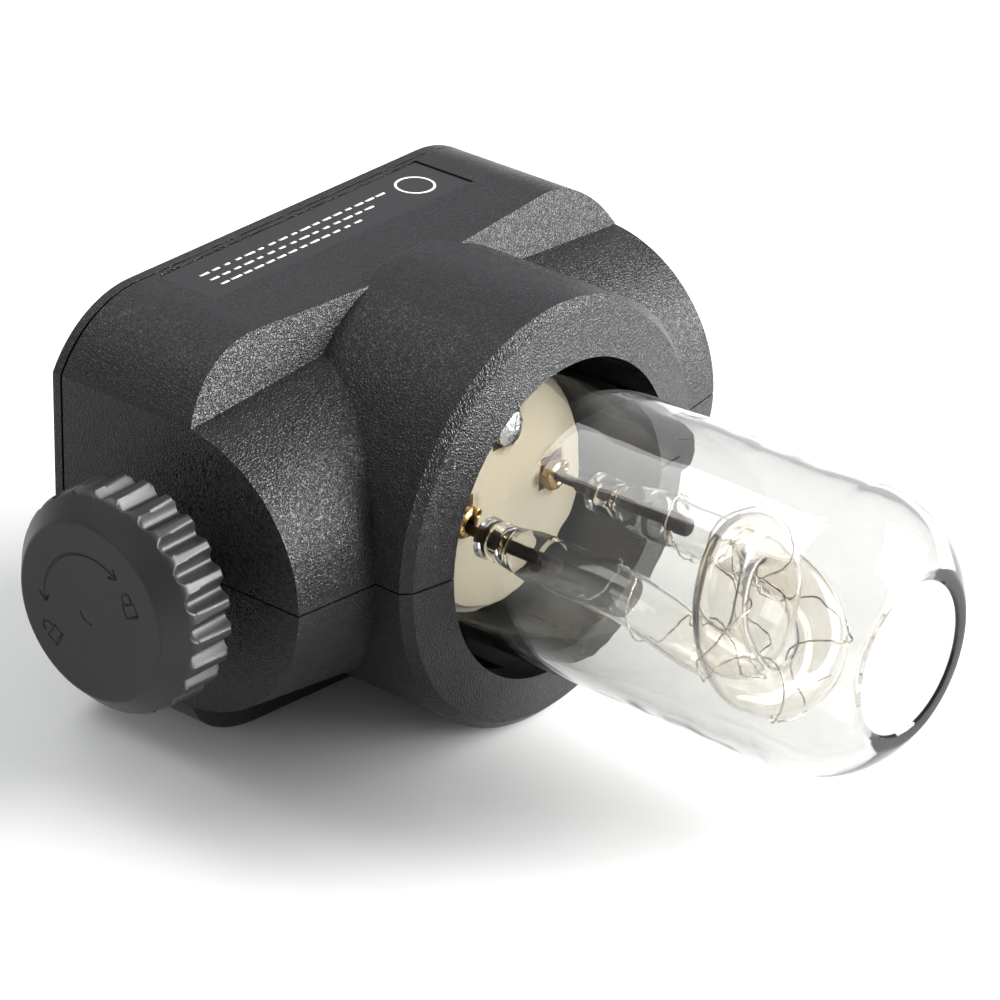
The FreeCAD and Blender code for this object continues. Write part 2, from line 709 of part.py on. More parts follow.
def flash_tube():
    """The xenon tube: two legs that stand off the ceramic and meet in a coil round the lamp axis."""
    wall = number("tube_end_wall")
    outside = pipe("tube_outside", tube_route(0.0), number("tube_radius"))
    inside = pipe("tube_inside", tube_route(wall), number("tube_bore"))
    seals = [cylinder("y", "electrode_radius + 0.02", "4", (x, y + " - 3", z)) for x, y, z in LEG_ENDS]
    node(cut(outside, inside, *seals), "tube_glass")


LEG_ENDS = [("leg_offset", "far_leg_end", "0"), ("-leg_offset", "near_leg_end", "-near_leg_drop")]


def electrodes():
    """Tungsten rods with sintered tips, sealed into the ends of the legs."""
    rods = []
    for (x, y, z), tip in zip(LEG_ENDS, ("-13.5", "-7.0")):
        rods.append(fuse(cylinder("y", "0.75", "ceramic_face - (%s)" % tip, (x, tip, z)),
                         cylinder("y", "electrode_radius", "4.2", (x, tip + " - 0.6", z)),
                         cylinder("y", "electrode_radius", "3.4", (x, y + " - 2.4", z))))
    node(group(*rods), "electrodes")
    eyelets = []
    for x, z in EYELETS[:2]:
        tube = cut(cylinder("y", "1.55", "3.2", (x, "ceramic_face - 1.0", z)),
                   cylinder("y", "0.8", "8", (x, "ceramic_face - 3", "-0.8" if x[0] == "-" else "0")))
        eyelets.append(tube)
    node(group(*eyelets), "tube_eyelets")
    x, z = EYELETS[2]
    node(fuse(cylinder("y", "1.5", "3.6", (x, "ceramic_face + 0.2", z)),
              cylinder("y", "2.1", "0.9", (x, "ceramic_face - 0.7", z))), "trigger_terminal")


def trigger_wire():
    """The thin nickel wire that is wound along both legs and round the coil."""
    loops = []
    for x, y, z in LEG_ENDS:
        for step in range(4):
            loops.append(ring("y", "tube_radius + 0.2", "0.16", (x, "%s - 4 - %s * 3.6" % (y, step), z)))
        run = cylinder("y", "0.16", "16", (x, "%s - 18" % y, "%s + tube_radius + 0.2" % z))
        loops.append(run)
    route = [Vector(*point) for point in tube_route(0.0)]
    for start, end in list(zip(route, route[1:]))[4:8:2]:
        hoop = ring("y", "tube_radius + 0.2", "0.16", ("0", "0", "0"))
        hoop.Placement = FreeCAD.Placement((start + end) * 0.5, Rotation(Vector(0, 0, 1), end - start))
        loops.append(hoop)
    node(group(*loops), "trigger_wire")


# ---------------------------------------------------------------- clamp
def clamp():
    """The side clamp: a fluted knob turns a screw through a bush and pushes the pad against the stem."""
    node(knob(), "clamp_knob")
    shank = cylinder("x", "screw_radius", "knob_face - 3 - screw_end", ("-knob_face + 3", "bulge_axis", "0"))
    tip = cylinder("x", "1.5", "2.6", ("-screw_end", "bulge_axis", "0"))
    groove = cut(cylinder("x", "1.5", "0.5", ("-screw_end + 1.9", "bulge_axis", "0")),
                 cylinder("x", "1.15", "0.5", ("-screw_end + 1.9", "bulge_axis", "0")))
    node(cut(fuse(shank, tip), groove), "clamp_screw")
    clip = cut(cylinder("x", "1.9", "0.4", ("-screw_end + 1.95", "bulge_axis", "0")),
               cylinder("x", "1.15", "0.4", ("-screw_end + 1.95", "bulge_axis", "0")),
               middle_box(("2", "1.6", "4"), ("-screw_end + 2", "bulge_axis", "-2")))
    node(clip, "pad_clip")
    bush = fuse(cylinder("x", "4.55", "6.4", ("-body_width/2 + 0.2", "bulge_axis", "0")),
                cylinder("x", "6.1", "1.3", ("-body_width/2 + 2.4", "bulge_axis", "0")))
    node(cut(bush, cylinder("x", "screw_radius + running_gap", "20", ("-body_width/2 - 5", "bulge_axis", "0"))),
         "clamp_bush")
    pad_block = cylinder("x", "pad_radius", "pad_back - pad_face", ("-pad_back", "bulge_axis", "0"))
    stem_way = cylinder("x", "1.55", "pad_back - pad_face", ("-pad_back - 1", "bulge_axis", "0"))
    clip_way = cylinder("x", "2.1", "1.4", ("-screw_end + 1.5", "bulge_axis", "0"))
    node(cut(pad_block, stem_way, clip_way), "clamp_pad")


def knob():
    """The knob: rounded face edge, rounded flutes, a smooth neck, and a bore for its screw."""
    body = turned("knob", "XY_Plane", "H_Axis", [
        ("-knob_face", "0"), ("-knob_face", "knob_radius - 2.4"), ("-knob_face + 2.2", "knob_radius", "2.35"),
        ("-knob_back - 0.5", "knob_radius"), ("-knob_back", "knob_radius - 0.5"),
        ("-knob_back", "knob_neck_radius"), ("-knob_neck", "knob_neck_radius"), ("-knob_neck", "0"),
    ])
    flutes = []
    for angle in around(FLUTES, 10.9):
        y, z = "(knob_radius + 0.3) * cos(%s deg)" % angle, "(knob_radius + 0.3) * sin(%s deg)" % angle
        flutes.append(cylinder("x", "flute_radius", "20", ("-knob_face + flute_start", "bulge_axis + " + y, z)))
    bore = cylinder("x", "screw_radius", "20", ("-knob_face + 3", "bulge_axis", "0"))
    place(body, ("0", "bulge_axis", "0"))
    return cut(body, bore, *(flutes + knob_marks()))


def knob_marks():
    """Shallow engraved marks on the knob's face: a turning arc and a centre arc."""
    depth = ("-knob_face - 1", "1.2")
    marks = []
    for radius, width, start, end in (("7.0", "0.35", 28, 152), ("1.6", "0.3", 120, 250)):
        band = cut(cylinder("x", "%s + %s/2" % (radius, width), depth[1], (depth[0], "bulge_axis", "0")),
                   cylinder("x", "%s - %s/2" % (radius, width), "4", ("-knob_face - 2", "bulge_axis", "0")))
        wedge = doc.addObject("Part::Cylinder", "sector")
        bind(wedge, Radius="12", Height="4", Angle=str(end - start))
        place(wedge, ("-knob_face - 2", "bulge_axis", "0"),
              Rotation(Vector(1, 0, 0), start) * TURNS["x"])
        marks.append(common(band, wedge))
    return marks


# ---------------------------------------------------------------- electronics
def electronics():
    """The trigger circuit behind the sleeve: board, transformer, capacitor and leads."""
    holes = [cylinder("y", "1.2", "6", (x, "board_front - 2", z)) for x, z in BOARD_SCREWS]
    holes += [cylinder("y", "0.55", "6", (x, "board_front - 2", z)) for x, z in SIGNAL_PINS]
    holes += [middle_box(("1.3", "6", "6.1"), (x, "board_front", "0")) for x in BLADE_X]
    node(cut(middle_box(("board_width", "board_sheet", "board_height"),
                        ("0", "board_front + board_sheet/2", "0")), *holes), "trigger_board")
    node(group(*[screw("y", (x, "board_front - 1.2", z), "2.0", "1.2", "0.88", "4.4") for x, z in BOARD_SCREWS]),
         "board_screws")
    core = cylinder("x", "2.4", "10", ("24.8", "26.2", "0"))
    winding = cylinder("x", "4.8", "8", ("25.8", "26.2", "0"))
    cheeks = [cylinder("x", "5.4", "1", (x, "26.2", "0")) for x in ("25", "33.6")]
    node(fuse(core, winding, *cheeks), "trigger_transformer")
    node(middle_box(("12", "3.8", "6"), ("-8", "board_front + board_sheet + 1.9", "-11.6")), "trigger_capacitor")


BOARD_SCREWS = [("-18.5", "12.5"), ("18.5", "12.5"), ("-18.5", "-12.5"), ("18.5", "-12.5")]


def leads():
    """Insulated leads from the connector blades and the transformer to the socket's contact sleeves."""
    power = []
    for side in (-1, 1):
        power.append(pipe("power_lead", [(side * 8.0, 31.3, -5.2), (side * 10.6, 31.9, -8.2),
                                         (side * 14.6, 32.3, -7.2), (side * 15.0, 32.4, -2.6),
                                         (side * 11.0, 32.5, -0.4)], 0.6))
    node(group(*power), "power_leads")
    node(pipe("trigger_wire_lead", [(1.0, 31.3, 9.8), (6.0, 31.9, 12.0), (14.0, 31.9, 14.0), (21.0, 31.0, 14.2),
                                    (26.4, 28.6, 11.2), (27.2, 26.8, 5.6)], 0.6), "trigger_lead")


def main():
    shells()
    rear_plate()
    label_plate()
    hook_rails()
    housing_screws()
    connector()
    guide_sleeve()
    lamp_socket()
    ceramic_base()
    glass_dome()
    flash_tube()
    electrodes()
    trigger_wire()
    clamp()
    electronics()
    leads()
    doc.recompute()
    check_and_export()


def check_and_export():
    """Stop at anything that failed, then write one STEP file for each sub-part."""
    faults = ["%s: %s" % (thing.Name, thing.State) for thing in doc.Objects
              if "Invalid" in thing.State or "Error" in thing.State]
    for thing in nodes:
        if thing.Shape.isNull() or not thing.Shape.isValid() or thing.Shape.Volume < 1e-6:
            faults.append("%s has no valid shape" % thing.Label)
    if faults:
        sys.exit("\n".join(faults))
    os.makedirs("parts", exist_ok=True)
    for thing in nodes:
        thing.Shape.exportStep("parts/%s.step" % thing.Label)
    print("wrote %d sub-parts" % len(nodes))


main()
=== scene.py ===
"""The bare-bulb flash head as it looks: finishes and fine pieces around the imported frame. Metres, +Z up."""
from __future__ import annotations

import json
import logging
import math
import random
from dataclasses import dataclass
from enum import Enum
from typing import Callable, Optional, Sequence

import bmesh
import bpy
from mathutils import Matrix, Vector

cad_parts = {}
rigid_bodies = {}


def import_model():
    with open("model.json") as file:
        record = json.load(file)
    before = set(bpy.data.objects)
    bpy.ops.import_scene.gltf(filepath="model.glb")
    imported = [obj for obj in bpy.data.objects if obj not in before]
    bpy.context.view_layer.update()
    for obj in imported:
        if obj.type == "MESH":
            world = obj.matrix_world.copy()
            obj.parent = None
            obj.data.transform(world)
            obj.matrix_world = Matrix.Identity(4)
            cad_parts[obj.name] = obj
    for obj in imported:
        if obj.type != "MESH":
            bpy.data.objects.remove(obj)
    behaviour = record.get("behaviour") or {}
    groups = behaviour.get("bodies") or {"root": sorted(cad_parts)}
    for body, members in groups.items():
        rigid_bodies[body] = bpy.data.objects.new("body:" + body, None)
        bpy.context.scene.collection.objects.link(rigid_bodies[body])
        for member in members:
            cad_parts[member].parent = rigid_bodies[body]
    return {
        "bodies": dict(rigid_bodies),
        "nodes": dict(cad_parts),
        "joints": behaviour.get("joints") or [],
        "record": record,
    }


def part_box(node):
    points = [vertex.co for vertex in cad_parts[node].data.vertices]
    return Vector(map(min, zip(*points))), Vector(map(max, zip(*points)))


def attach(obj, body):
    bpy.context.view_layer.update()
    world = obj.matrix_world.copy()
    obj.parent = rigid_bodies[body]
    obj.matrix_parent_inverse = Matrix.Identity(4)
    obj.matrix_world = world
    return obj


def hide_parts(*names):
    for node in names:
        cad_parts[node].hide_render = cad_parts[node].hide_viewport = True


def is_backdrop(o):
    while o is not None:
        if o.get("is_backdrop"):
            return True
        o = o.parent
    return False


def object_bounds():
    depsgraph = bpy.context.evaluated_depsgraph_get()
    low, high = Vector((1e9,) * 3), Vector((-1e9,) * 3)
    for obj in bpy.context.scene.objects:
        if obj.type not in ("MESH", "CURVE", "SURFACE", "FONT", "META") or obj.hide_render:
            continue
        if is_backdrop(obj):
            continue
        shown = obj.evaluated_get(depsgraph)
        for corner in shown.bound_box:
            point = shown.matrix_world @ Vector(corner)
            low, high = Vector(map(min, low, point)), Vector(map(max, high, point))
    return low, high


log = logging.getLogger("flash_head")

MM = 0.001
Point = tuple[float, float, float]
Span = tuple[float, float]
Profile = list[Span]
Socket = bpy.types.NodeSocket


# ---------------------------------------------------------------- small helpers
def linear(colour: str) -> tuple[float, float, float, float]:
    """Turn an sRGB hex colour into linear light.

    Args:
        colour: six hex digits after a hash, such as "#1C1C1E".

    Returns:
        Red, green, blue and an alpha of 1.
    """
    parts = [int(colour[i:i + 2], 16) / 255.0 for i in (1, 3, 5)]
    red, green, blue = [c / 12.92 if c <= 0.04045 else ((c + 0.055) / 1.055) ** 2.4 for c in parts]
    return red, green, blue, 1.0


def add(tree: bpy.types.NodeTree, kind: str, inputs: Optional[dict] = None, **settings: object) -> bpy.types.Node:
    """Add a node, set its properties and feed its inputs.

    Args:
        tree: the shader or geometry tree.
        kind: the node's type name.
        inputs: values or output sockets, by input name or number.
        settings: properties of the node.

    Returns:
        The new node.
    """
    made = tree.nodes.new(kind)
    for name, value in settings.items():
        setattr(made, name, value)
    for name, value in (inputs or {}).items():
        if isinstance(value, bpy.types.NodeSocket):
            tree.links.new(value, made.inputs[name])
        else:
            made.inputs[name].default_value = value
    return made


def per_mm(size_mm: float) -> float:
    """The texture scale that repeats once in a size given in millimetres."""
    return 1.0 / (size_mm * MM)


def linked(name: str, data: bpy.types.ID) -> bpy.types.Object:
    """A new object in the scene, made of some data.

    Args:
        name: the object's name.
        data: its mesh, light or camera.

    Returns:
        The new object.
    """
    made = bpy.data.objects.new(name, data)
    bpy.context.scene.collection.objects.link(made)
    return made


# ---------------------------------------------------------------- finishes
class Grain(Enum):
    """The kinds of surface relief."""

    LEATHER = "leather"
    ERODED = "spark eroded"
    BRUSHED = "brushed"
    WAVY = "wavy"
    SMOOTH = "smooth"


@dataclass(frozen=True)
class Finish:
    """A surface: what it is made of and how it was made.

    Attributes:
        name: the finish's plain name.
        colour: its main colour, sRGB hex.
        shade: a second colour that it drifts to in patches.
        roughness: mean roughness.
        spread: how far roughness drifts either side.
        patch_mm: the size of the patches.
        grain: the relief's kind.
        grain_mm: the relief's cell size.
        depth_mm: the relief's depth.
        metallic: 1 for bare metal.
        ior: index of refraction.
        clear: how much light it lets through.
    """

    name: str
    colour: str
    shade: str
    roughness: float
    spread: float = 0.05
    patch_mm: float = 6.0
    grain: Grain = Grain.SMOOTH
    grain_mm: float = 0.4
    depth_mm: float = 0.0
    metallic: float = 0.0
    ior: float = 1.5
    clear: float = 0.0

    def material(self) -> bpy.types.Material:
        """Build the finish the first time it is asked for, and hand out the same one after that.

        Returns:
            The material.
        """
        found = bpy.data.materials.get(self.name)
        if found is not None:
            return found
        made = bpy.data.materials.new(self.name)
        made.use_nodes = True
        tree = made.node_tree
        shader = tree.nodes["Principled BSDF"]
        for name, value in (("Metallic", self.metallic), ("IOR", self.ior), ("Transmission Weight", self.clear)):
            shader.inputs[name].default_value = value
        place = add(tree, "ShaderNodeTexCoord").outputs["Object"]
        drift = add(tree, "ShaderNodeTexNoise",
                    {"Vector": place, "Scale": per_mm(self.patch_mm), "Detail": 4.0}).outputs["Fac"]
        self.paint(tree, shader, place, drift)
        height = self.relief(tree, place)
        if height is not None:
            bump = add(tree, "ShaderNodeBump", {"Height": height, "Distance": self.depth_mm * MM, "Strength": 1.0})
            tree.links.new(bump.outputs["Normal"], shader.inputs["Normal"])
        return made

    def paint(self, tree: bpy.types.NodeTree, shader: bpy.types.Node, place: Socket, drift: Socket) -> None:
        """Drift the colour and the roughness in soft patches.

        Args:
            tree: the material's tree.
            shader: its shader.
            place: Object coordinates.
            drift: a slow noise.
        """
        colour = add(tree, "ShaderNodeMix", {0: drift, 6: linear(self.colour), 7: linear(self.shade)},
                     data_type="RGBA").outputs[2]
        tree.links.new(colour, shader.inputs["Base Color"])
        rough = add(tree, "ShaderNodeMapRange",
                    {"Value": drift, "From Min": 0.3, "From Max": 0.7, "To Min": self.roughness - self.spread,
                     "To Max": self.roughness + self.spread}).outputs["Result"]
        tree.links.new(rough, shader.inputs["Roughness"])

    def relief(self, tree: bpy.types.NodeTree, place: Socket) -> Optional[Socket]:
        """The height of the surface's relief, from 0 to 1.

        Args:
            tree: the material's tree.
            place: Object coordinates.

        Returns:
            A height, or None on a smooth surface.
        """
        scale = per_mm(self.grain_mm)
        if self.grain is Grain.SMOOTH:
            return None
        if self.grain is Grain.LEATHER:
            warp = add(tree, "ShaderNodeTexNoise", {"Vector": place, "Scale": scale * 0.6, "Detail": 2.0})
            lean = add(tree, "ShaderNodeVectorMath", {0: warp.outputs["Color"], "Scale": self.grain_mm * MM * 1.4},
                       operation="SCALE")
            moved = add(tree, "ShaderNodeVectorMath", {0: place, 1: lean.outputs[0]}, operation="ADD").outputs[0]
            cells = add(tree, "ShaderNodeTexVoronoi", {"Vector": moved, "Scale": scale},
                        feature="DISTANCE_TO_EDGE").outputs["Distance"]
            pebble = add(tree, "ShaderNodeMapRange", {"Value": cells, "From Min": 0.0, "From Max": 0.32},
                         interpolation_type="SMOOTHSTEP").outputs["Result"]
            fine = add(tree, "ShaderNodeTexNoise", {"Vector": place, "Scale": scale * 2.2, "Detail": 3.0})
            return add(tree, "ShaderNodeMath", {0: fine.outputs["Fac"], 1: 0.7, 2: pebble},
                       operation="MULTIPLY_ADD").outputs[0]
        if self.grain is Grain.BRUSHED:
            squeeze = add(tree, "ShaderNodeMapping", {"Vector": place, "Scale": (1.0, 1.0, 0.04)})
            return add(tree, "ShaderNodeTexNoise", {"Vector": squeeze.outputs["Vector"], "Scale": scale,
                                                    "Detail": 3.0}).outputs["Fac"]
        detail = 1.0 if self.grain is Grain.WAVY else 5.0
        return add(tree, "ShaderNodeTexNoise", {"Vector": place, "Scale": scale, "Detail": detail}).outputs["Fac"]


@dataclass(frozen=True)
class TintedQuartz(Finish):
    """Fused quartz whose coil has gone warm: the tint comes in over a stretch of the tube.

    Attributes:
        warm_from: where along the lamp axis the tint starts, in metres.
        warm_to: where it is full, in metres.
    """

    warm_from: float = -0.020
    warm_to: float = -0.027

    def paint(self, tree: bpy.types.NodeTree, shader: bpy.types.Node, place: Socket, drift: Socket) -> None:
        """Tint the glass by its place along the lamp axis; see Finish.paint.

        Args:
            tree: the material's tree.
            shader: its shader.
            place: Object coordinates.
            drift: a slow noise.
        """
        along = add(tree, "ShaderNodeSeparateXYZ", {"Vector": place}).outputs["Y"]
        share = add(tree, "ShaderNodeMapRange", {"Value": along, "From Min": self.warm_from, "From Max": self.warm_to},
                    interpolation_type="SMOOTHSTEP").outputs["Result"]
        uneven = add(tree, "ShaderNodeMath", {0: share, 1: drift, 2: 0.0}, operation="MULTIPLY_ADD").outputs[0]
        colour = add(tree, "ShaderNodeMix", {0: uneven, 6: linear(self.colour), 7: linear(self.shade)},
                     data_type="RGBA").outputs[2]
        tree.links.new(colour, shader.inputs["Base Color"])
        shader.inputs["Roughness"].default_value = self.roughness


@dataclass(frozen=True)
class ClearGlass(Finish):
    """Drawn glass: one colour, polished by the flame, with only faint waves in it."""

    def paint(self, tree: bpy.types.NodeTree, shader: bpy.types.Node, place: Socket, drift: Socket) -> None:
        """Set the glass's even colour and polish; see Finish.paint."""
        shader.inputs["Base Color"].default_value = linear(self.colour)
        shader.inputs["Roughness"].default_value = self.roughness


@dataclass(frozen=True)
class StainedCeramic(Finish):
    """Dense ivory ceramic, with brown flux stains round its recesses.

    Attributes:
        stain: the stain's colour.
        recesses: centre x, centre z and half size of each recess, in metres.
    """

    stain: str = "#7A5A2C"
    recesses: tuple[Point, ...] = ()

    def paint(self, tree: bpy.types.NodeTree, shader: bpy.types.Node, place: Socket, drift: Socket) -> None:
        """Lay the stain on the drifting body colour; see Finish.paint.

        Args:
            tree: the material's tree.
            shader: its shader.
            place: Object coordinates.
            drift: a slow noise.
        """
        parts = add(tree, "ShaderNodeSeparateXYZ", {"Vector": place}).outputs
        flat = add(tree, "ShaderNodeCombineXYZ", {"X": parts["X"], "Z": parts["Z"]}).outputs[0]
        total: object = 0.0
        for x, z, half in self.recesses:
            away = add(tree, "ShaderNodeVectorMath", {0: flat, 1: (x, 0.0, z)}, operation="DISTANCE").outputs["Value"]
            near = add(tree, "ShaderNodeMapRange", {"Value": away, "From Min": half * 1.75, "From Max": half * 0.95},
                       interpolation_type="SMOOTHSTEP").outputs["Result"]
            total = add(tree, "ShaderNodeMath", {0: total, 1: near}, operation="MAXIMUM").outputs[0]
        blotch = add(tree, "ShaderNodeTexNoise", {"Vector": place, "Scale": per_mm(1.6), "Detail": 5.0})
        sharp = add(tree, "ShaderNodeMapRange", {"Value": blotch.outputs["Fac"], "From Min": 0.42, "From Max": 0.68})
        amount = add(tree, "ShaderNodeMath", {0: total, 1: sharp.outputs["Result"]}, operation="MULTIPLY").outputs[0]
        body = add(tree, "ShaderNodeMix", {0: drift, 6: linear(self.colour), 7: linear(self.shade)},
                   data_type="RGBA").outputs[2]
        colour = add(tree, "ShaderNodeMix", {0: amount, 6: body, 7: linear(self.stain)}, data_type="RGBA").outputs[2]
        tree.links.new(colour, shader.inputs["Base Color"])
        shader.inputs["Roughness"].default_value = self.roughness


# moulded ABS with a fine leather grain: satin, broken up into small glints
GRAINED_ABS = Finish("grained_abs", "#0E0E0F", "#131314", 0.30, 0.05, 9.0, Grain.LEATHER, 0.38, 0.055, ior=1.35)
# moulded nylon from a spark eroded tool: even, soft sheen
SATIN_NYLON = Finish("satin_nylon", "#161617", "#1A1A1B", 0.42, 0.04, 5.0, Grain.ERODED, 0.22, 0.012, ior=1.38)
# glass filled resin inside the ring: dull and dark
DULL_RESIN = Finish("dull_resin", "#141415", "#1B1B1B", 0.5, 0.06, 4.0, Grain.ERODED, 0.3, 0.02)
# screen printed polyester film: smooth, a little glossier than the housing
PRINTED_FILM = Finish("printed_film", "#0B0B0C", "#0F0F10", 0.26, 0.03, 8.0)
# screen printed ink: pale and flat
PRINT_INK = Finish("print_ink", "#D9D9D6", "#CFCFCB", 0.5, 0.05, 3.0)
# pressed and zinc plated sheet steel: bright grey, drawn out along the press
PRESSED_STEEL = Finish("pressed_steel", "#B9BABC", "#A9AAAD", 0.32, 0.07, 4.0, Grain.BRUSHED, 0.12, 0.008,
                       metallic=1.0)
# chemically blackened steel: near black, with a low metallic sheen
BLACKENED_STEEL = Finish("blackened_steel", "#3A3A3C", "#2B2B2D", 0.38, 0.06, 1.5, Grain.ERODED, 0.15, 0.006,
                         metallic=1.0)
# gold flashed spring contacts: warm and polished
GOLD_FLASH = Finish("gold_flash", "#D9B266", "#CBA154", 0.24, 0.05, 2.0, Grain.ERODED, 0.2, 0.004, metallic=1.0)
# rolled brass that has been near heat: warm, a little tarnished
TURNED_BRASS = Finish("turned_brass", "#C9A97A", "#A2804E", 0.28, 0.08, 1.6, Grain.ERODED, 0.12, 0.006, metallic=1.0)
# moulded PBT from a polished tool: black and glossy
GLOSS_RESIN = Finish("gloss_resin", "#161617", "#1B1B1D", 0.22, 0.05, 3.0, Grain.ERODED, 0.6, 0.006)
# pressed and fired steatite: matt, cool cream
STEATITE = Finish("steatite", "#D8D2C4", "#CAC2B2", 0.55, 0.05, 3.0, Grain.ERODED, 0.25, 0.012)
# air set ceramic cement: chalky and rough
SET_CEMENT = Finish("set_cement", "#E2DFD6", "#CFCABD", 0.8, 0.05, 1.2, Grain.ERODED, 0.2, 0.05)
# sintered tungsten: dark, grainy, a little brown
SINTERED_TUNGSTEN = Finish("sintered_tungsten", "#3B352E", "#5A4A3A", 0.5, 0.1, 1.0, Grain.ERODED, 0.14, 0.03,
                           metallic=1.0)
# cooled solder: bright, with a lumpy skin that glints
BRIGHT_SOLDER = Finish("bright_solder", "#D2D4D6", "#B9BBBE", 0.24, 0.1, 0.8, Grain.ERODED, 0.5, 0.12, metallic=1.0)
# drawn nickel wire: smooth and warm grey
DRAWN_NICKEL = Finish("drawn_nickel", "#D6CEC2", "#B0A494", 0.26, 0.05, 0.8, Grain.ERODED, 0.2, 0.004, metallic=1.0)
# moulded silicone rubber: dark, with no clear highlight
SOFT_RUBBER = Finish("soft_rubber", "#191919", "#222222", 0.7, 0.05, 3.0, Grain.ERODED, 0.2, 0.01)
# cured solder mask on a board: green, half gloss
SOLDER_MASK = Finish("solder_mask", "#1E5A34", "#17482A", 0.3, 0.06, 3.0, Grain.ERODED, 0.8, 0.01)
# varnished copper wire in layers: brown, glossy ridges
VARNISHED_WINDING = Finish("varnished_winding", "#8A4A22", "#6E3816", 0.35, 0.08, 1.0, Grain.BRUSHED, 0.15, 0.03)
# dipped epoxy: red brown, with the slow waves of a coating that ran
DIPPED_EPOXY = Finish("dipped_epoxy", "#8E2A1C", "#7C2316", 0.25, 0.05, 2.0, Grain.WAVY, 2.5, 0.05)
# extruded silicone insulation: red, satin
SILICONE_JACKET = Finish("silicone_jacket", "#9E1E18", "#8A1712", 0.5, 0.05, 2.0, Grain.WAVY, 1.0, 0.01)
# borosilicate drawn and blown: clear, with slow waves that bend reflections at the shoulder
BLOWN_GLASS = ClearGlass("blown_glass", "#E5E5E3", "#E5E5E3", 0.0, ior=1.47, clear=1.0, grain=Grain.WAVY,
                         grain_mm=7.0, depth_mm=0.10)
# the cut and flame polished edge of the mouth: thick, so it looks olive and streaked
CUT_EDGE = ClearGlass("cut_edge", "#AEB09E", "#AEB09E", 0.28, ior=1.47, clear=0.45, grain=Grain.BRUSHED, grain_mm=0.5,
                      depth_mm=0.06)
# fused quartz bent in a flame: clear, faintly warm where the coil has run hot
FUSED_QUARTZ = TintedQuartz("fused_quartz", "#FEFEFD", "#FBF6ED", 0.0, patch_mm=7.0, ior=1.458, clear=1.0,
                            grain=Grain.WAVY, grain_mm=5.0, depth_mm=0.05)
# glazed ivory ceramic: half gloss, with brown flux stains round its recesses
CERAMIC = StainedCeramic("stained_ceramic", "#E9E0C9", "#DED2B6", 0.36, 0.04, 5.0, Grain.ERODED, 0.6, 0.01,
                         recesses=((8 * MM, 0.4 * MM, 2.2 * MM), (-8 * MM, 0.4 * MM, 2.2 * MM),
                                   (-0.4 * MM, 8.9 * MM, 2.3 * MM)))

SLOT_FINISH = {
    "shell": GRAINED_ABS, "rear_cover": GRAINED_ABS, "label": PRINTED_FILM, "steel": PRESSED_STEEL,
    "screw_steel": BLACKENED_STEEL, "contact_metal": GOLD_FLASH, "connector_plastic": GLOSS_RESIN,
    "sleeve_plastic": DULL_RESIN, "socket_ceramic": STEATITE, "base_ceramic": CERAMIC, "brass": TURNED_BRASS,
    "dome_glass": BLOWN_GLASS, "tube_quartz": FUSED_QUARTZ, "cement": SET_CEMENT, "tungsten": SINTERED_TUNGSTEN,
    "solder": BRIGHT_SOLDER, "nickel_wire": DRAWN_NICKEL, "knob_plastic": SATIN_NYLON, "pad_rubber": SOFT_RUBBER,
    "board": SOLDER_MASK, "winding": VARNISHED_WINDING, "capacitor_case": DIPPED_EPOXY,
    "wire_jacket": SILICONE_JACKET,
}


# ---------------------------------------------------------------- shapes
# turned edges that bend by more than this many degrees stay crisp
CREASE = 38.0


def rounded(corners: Sequence[Point], steps: int = 6, closed: bool = False) -> Profile:
    """Round the corners of an outline.

    Args:
        corners: place along the axis, radius and rounding of each corner, in millimetres.
        steps: pieces in each round.
        closed: whether the last corner joins the first.

    Returns:
        The outline's points, in metres.
    """
    points: Profile = []
    count = len(corners)
    for index, (along, out, turn) in enumerate(corners):
        here = Vector((along, out))
        if turn <= 0 or (not closed and index in (0, count - 1)):
            points.append((along * MM, out * MM))
            continue
        before = (Vector(corners[index - 1][:2]) - here).normalized()
        after = (Vector(corners[(index + 1) % count][:2]) - here).normalized()
        half = before.angle(after) / 2
        reach = turn / math.tan(half)
        middle = here + (before + after).normalized() * (turn / math.sin(half))
        start, end = here + before * reach - middle, here + after * reach - middle
        sweep = start.angle_signed(end)
        for step in range(steps + 1):
            spoke = start.copy()
            spoke.rotate(Matrix.Rotation(-sweep * step / steps, 2))
            points.append(((middle.x + spoke.x) * MM, (middle.y + spoke.y) * MM))
    return points


def arc(centre: Span, radius: float, start: float, end: float, steps: int) -> Profile:
    """Points on an arc, in the units of its centre.

    Args:
        centre: place along the axis and radius of the arc's centre.
        radius: the arc's own radius.
        start: first angle in degrees, from the axis direction.
        end: last angle.
        steps: pieces in the arc.

    Returns:
        The arc's points.
    """
    angles = [math.radians(start + (end - start) * step / steps) for step in range(steps + 1)]
    return [(centre[0] + radius * math.cos(a), centre[1] + radius * math.sin(a)) for a in angles]


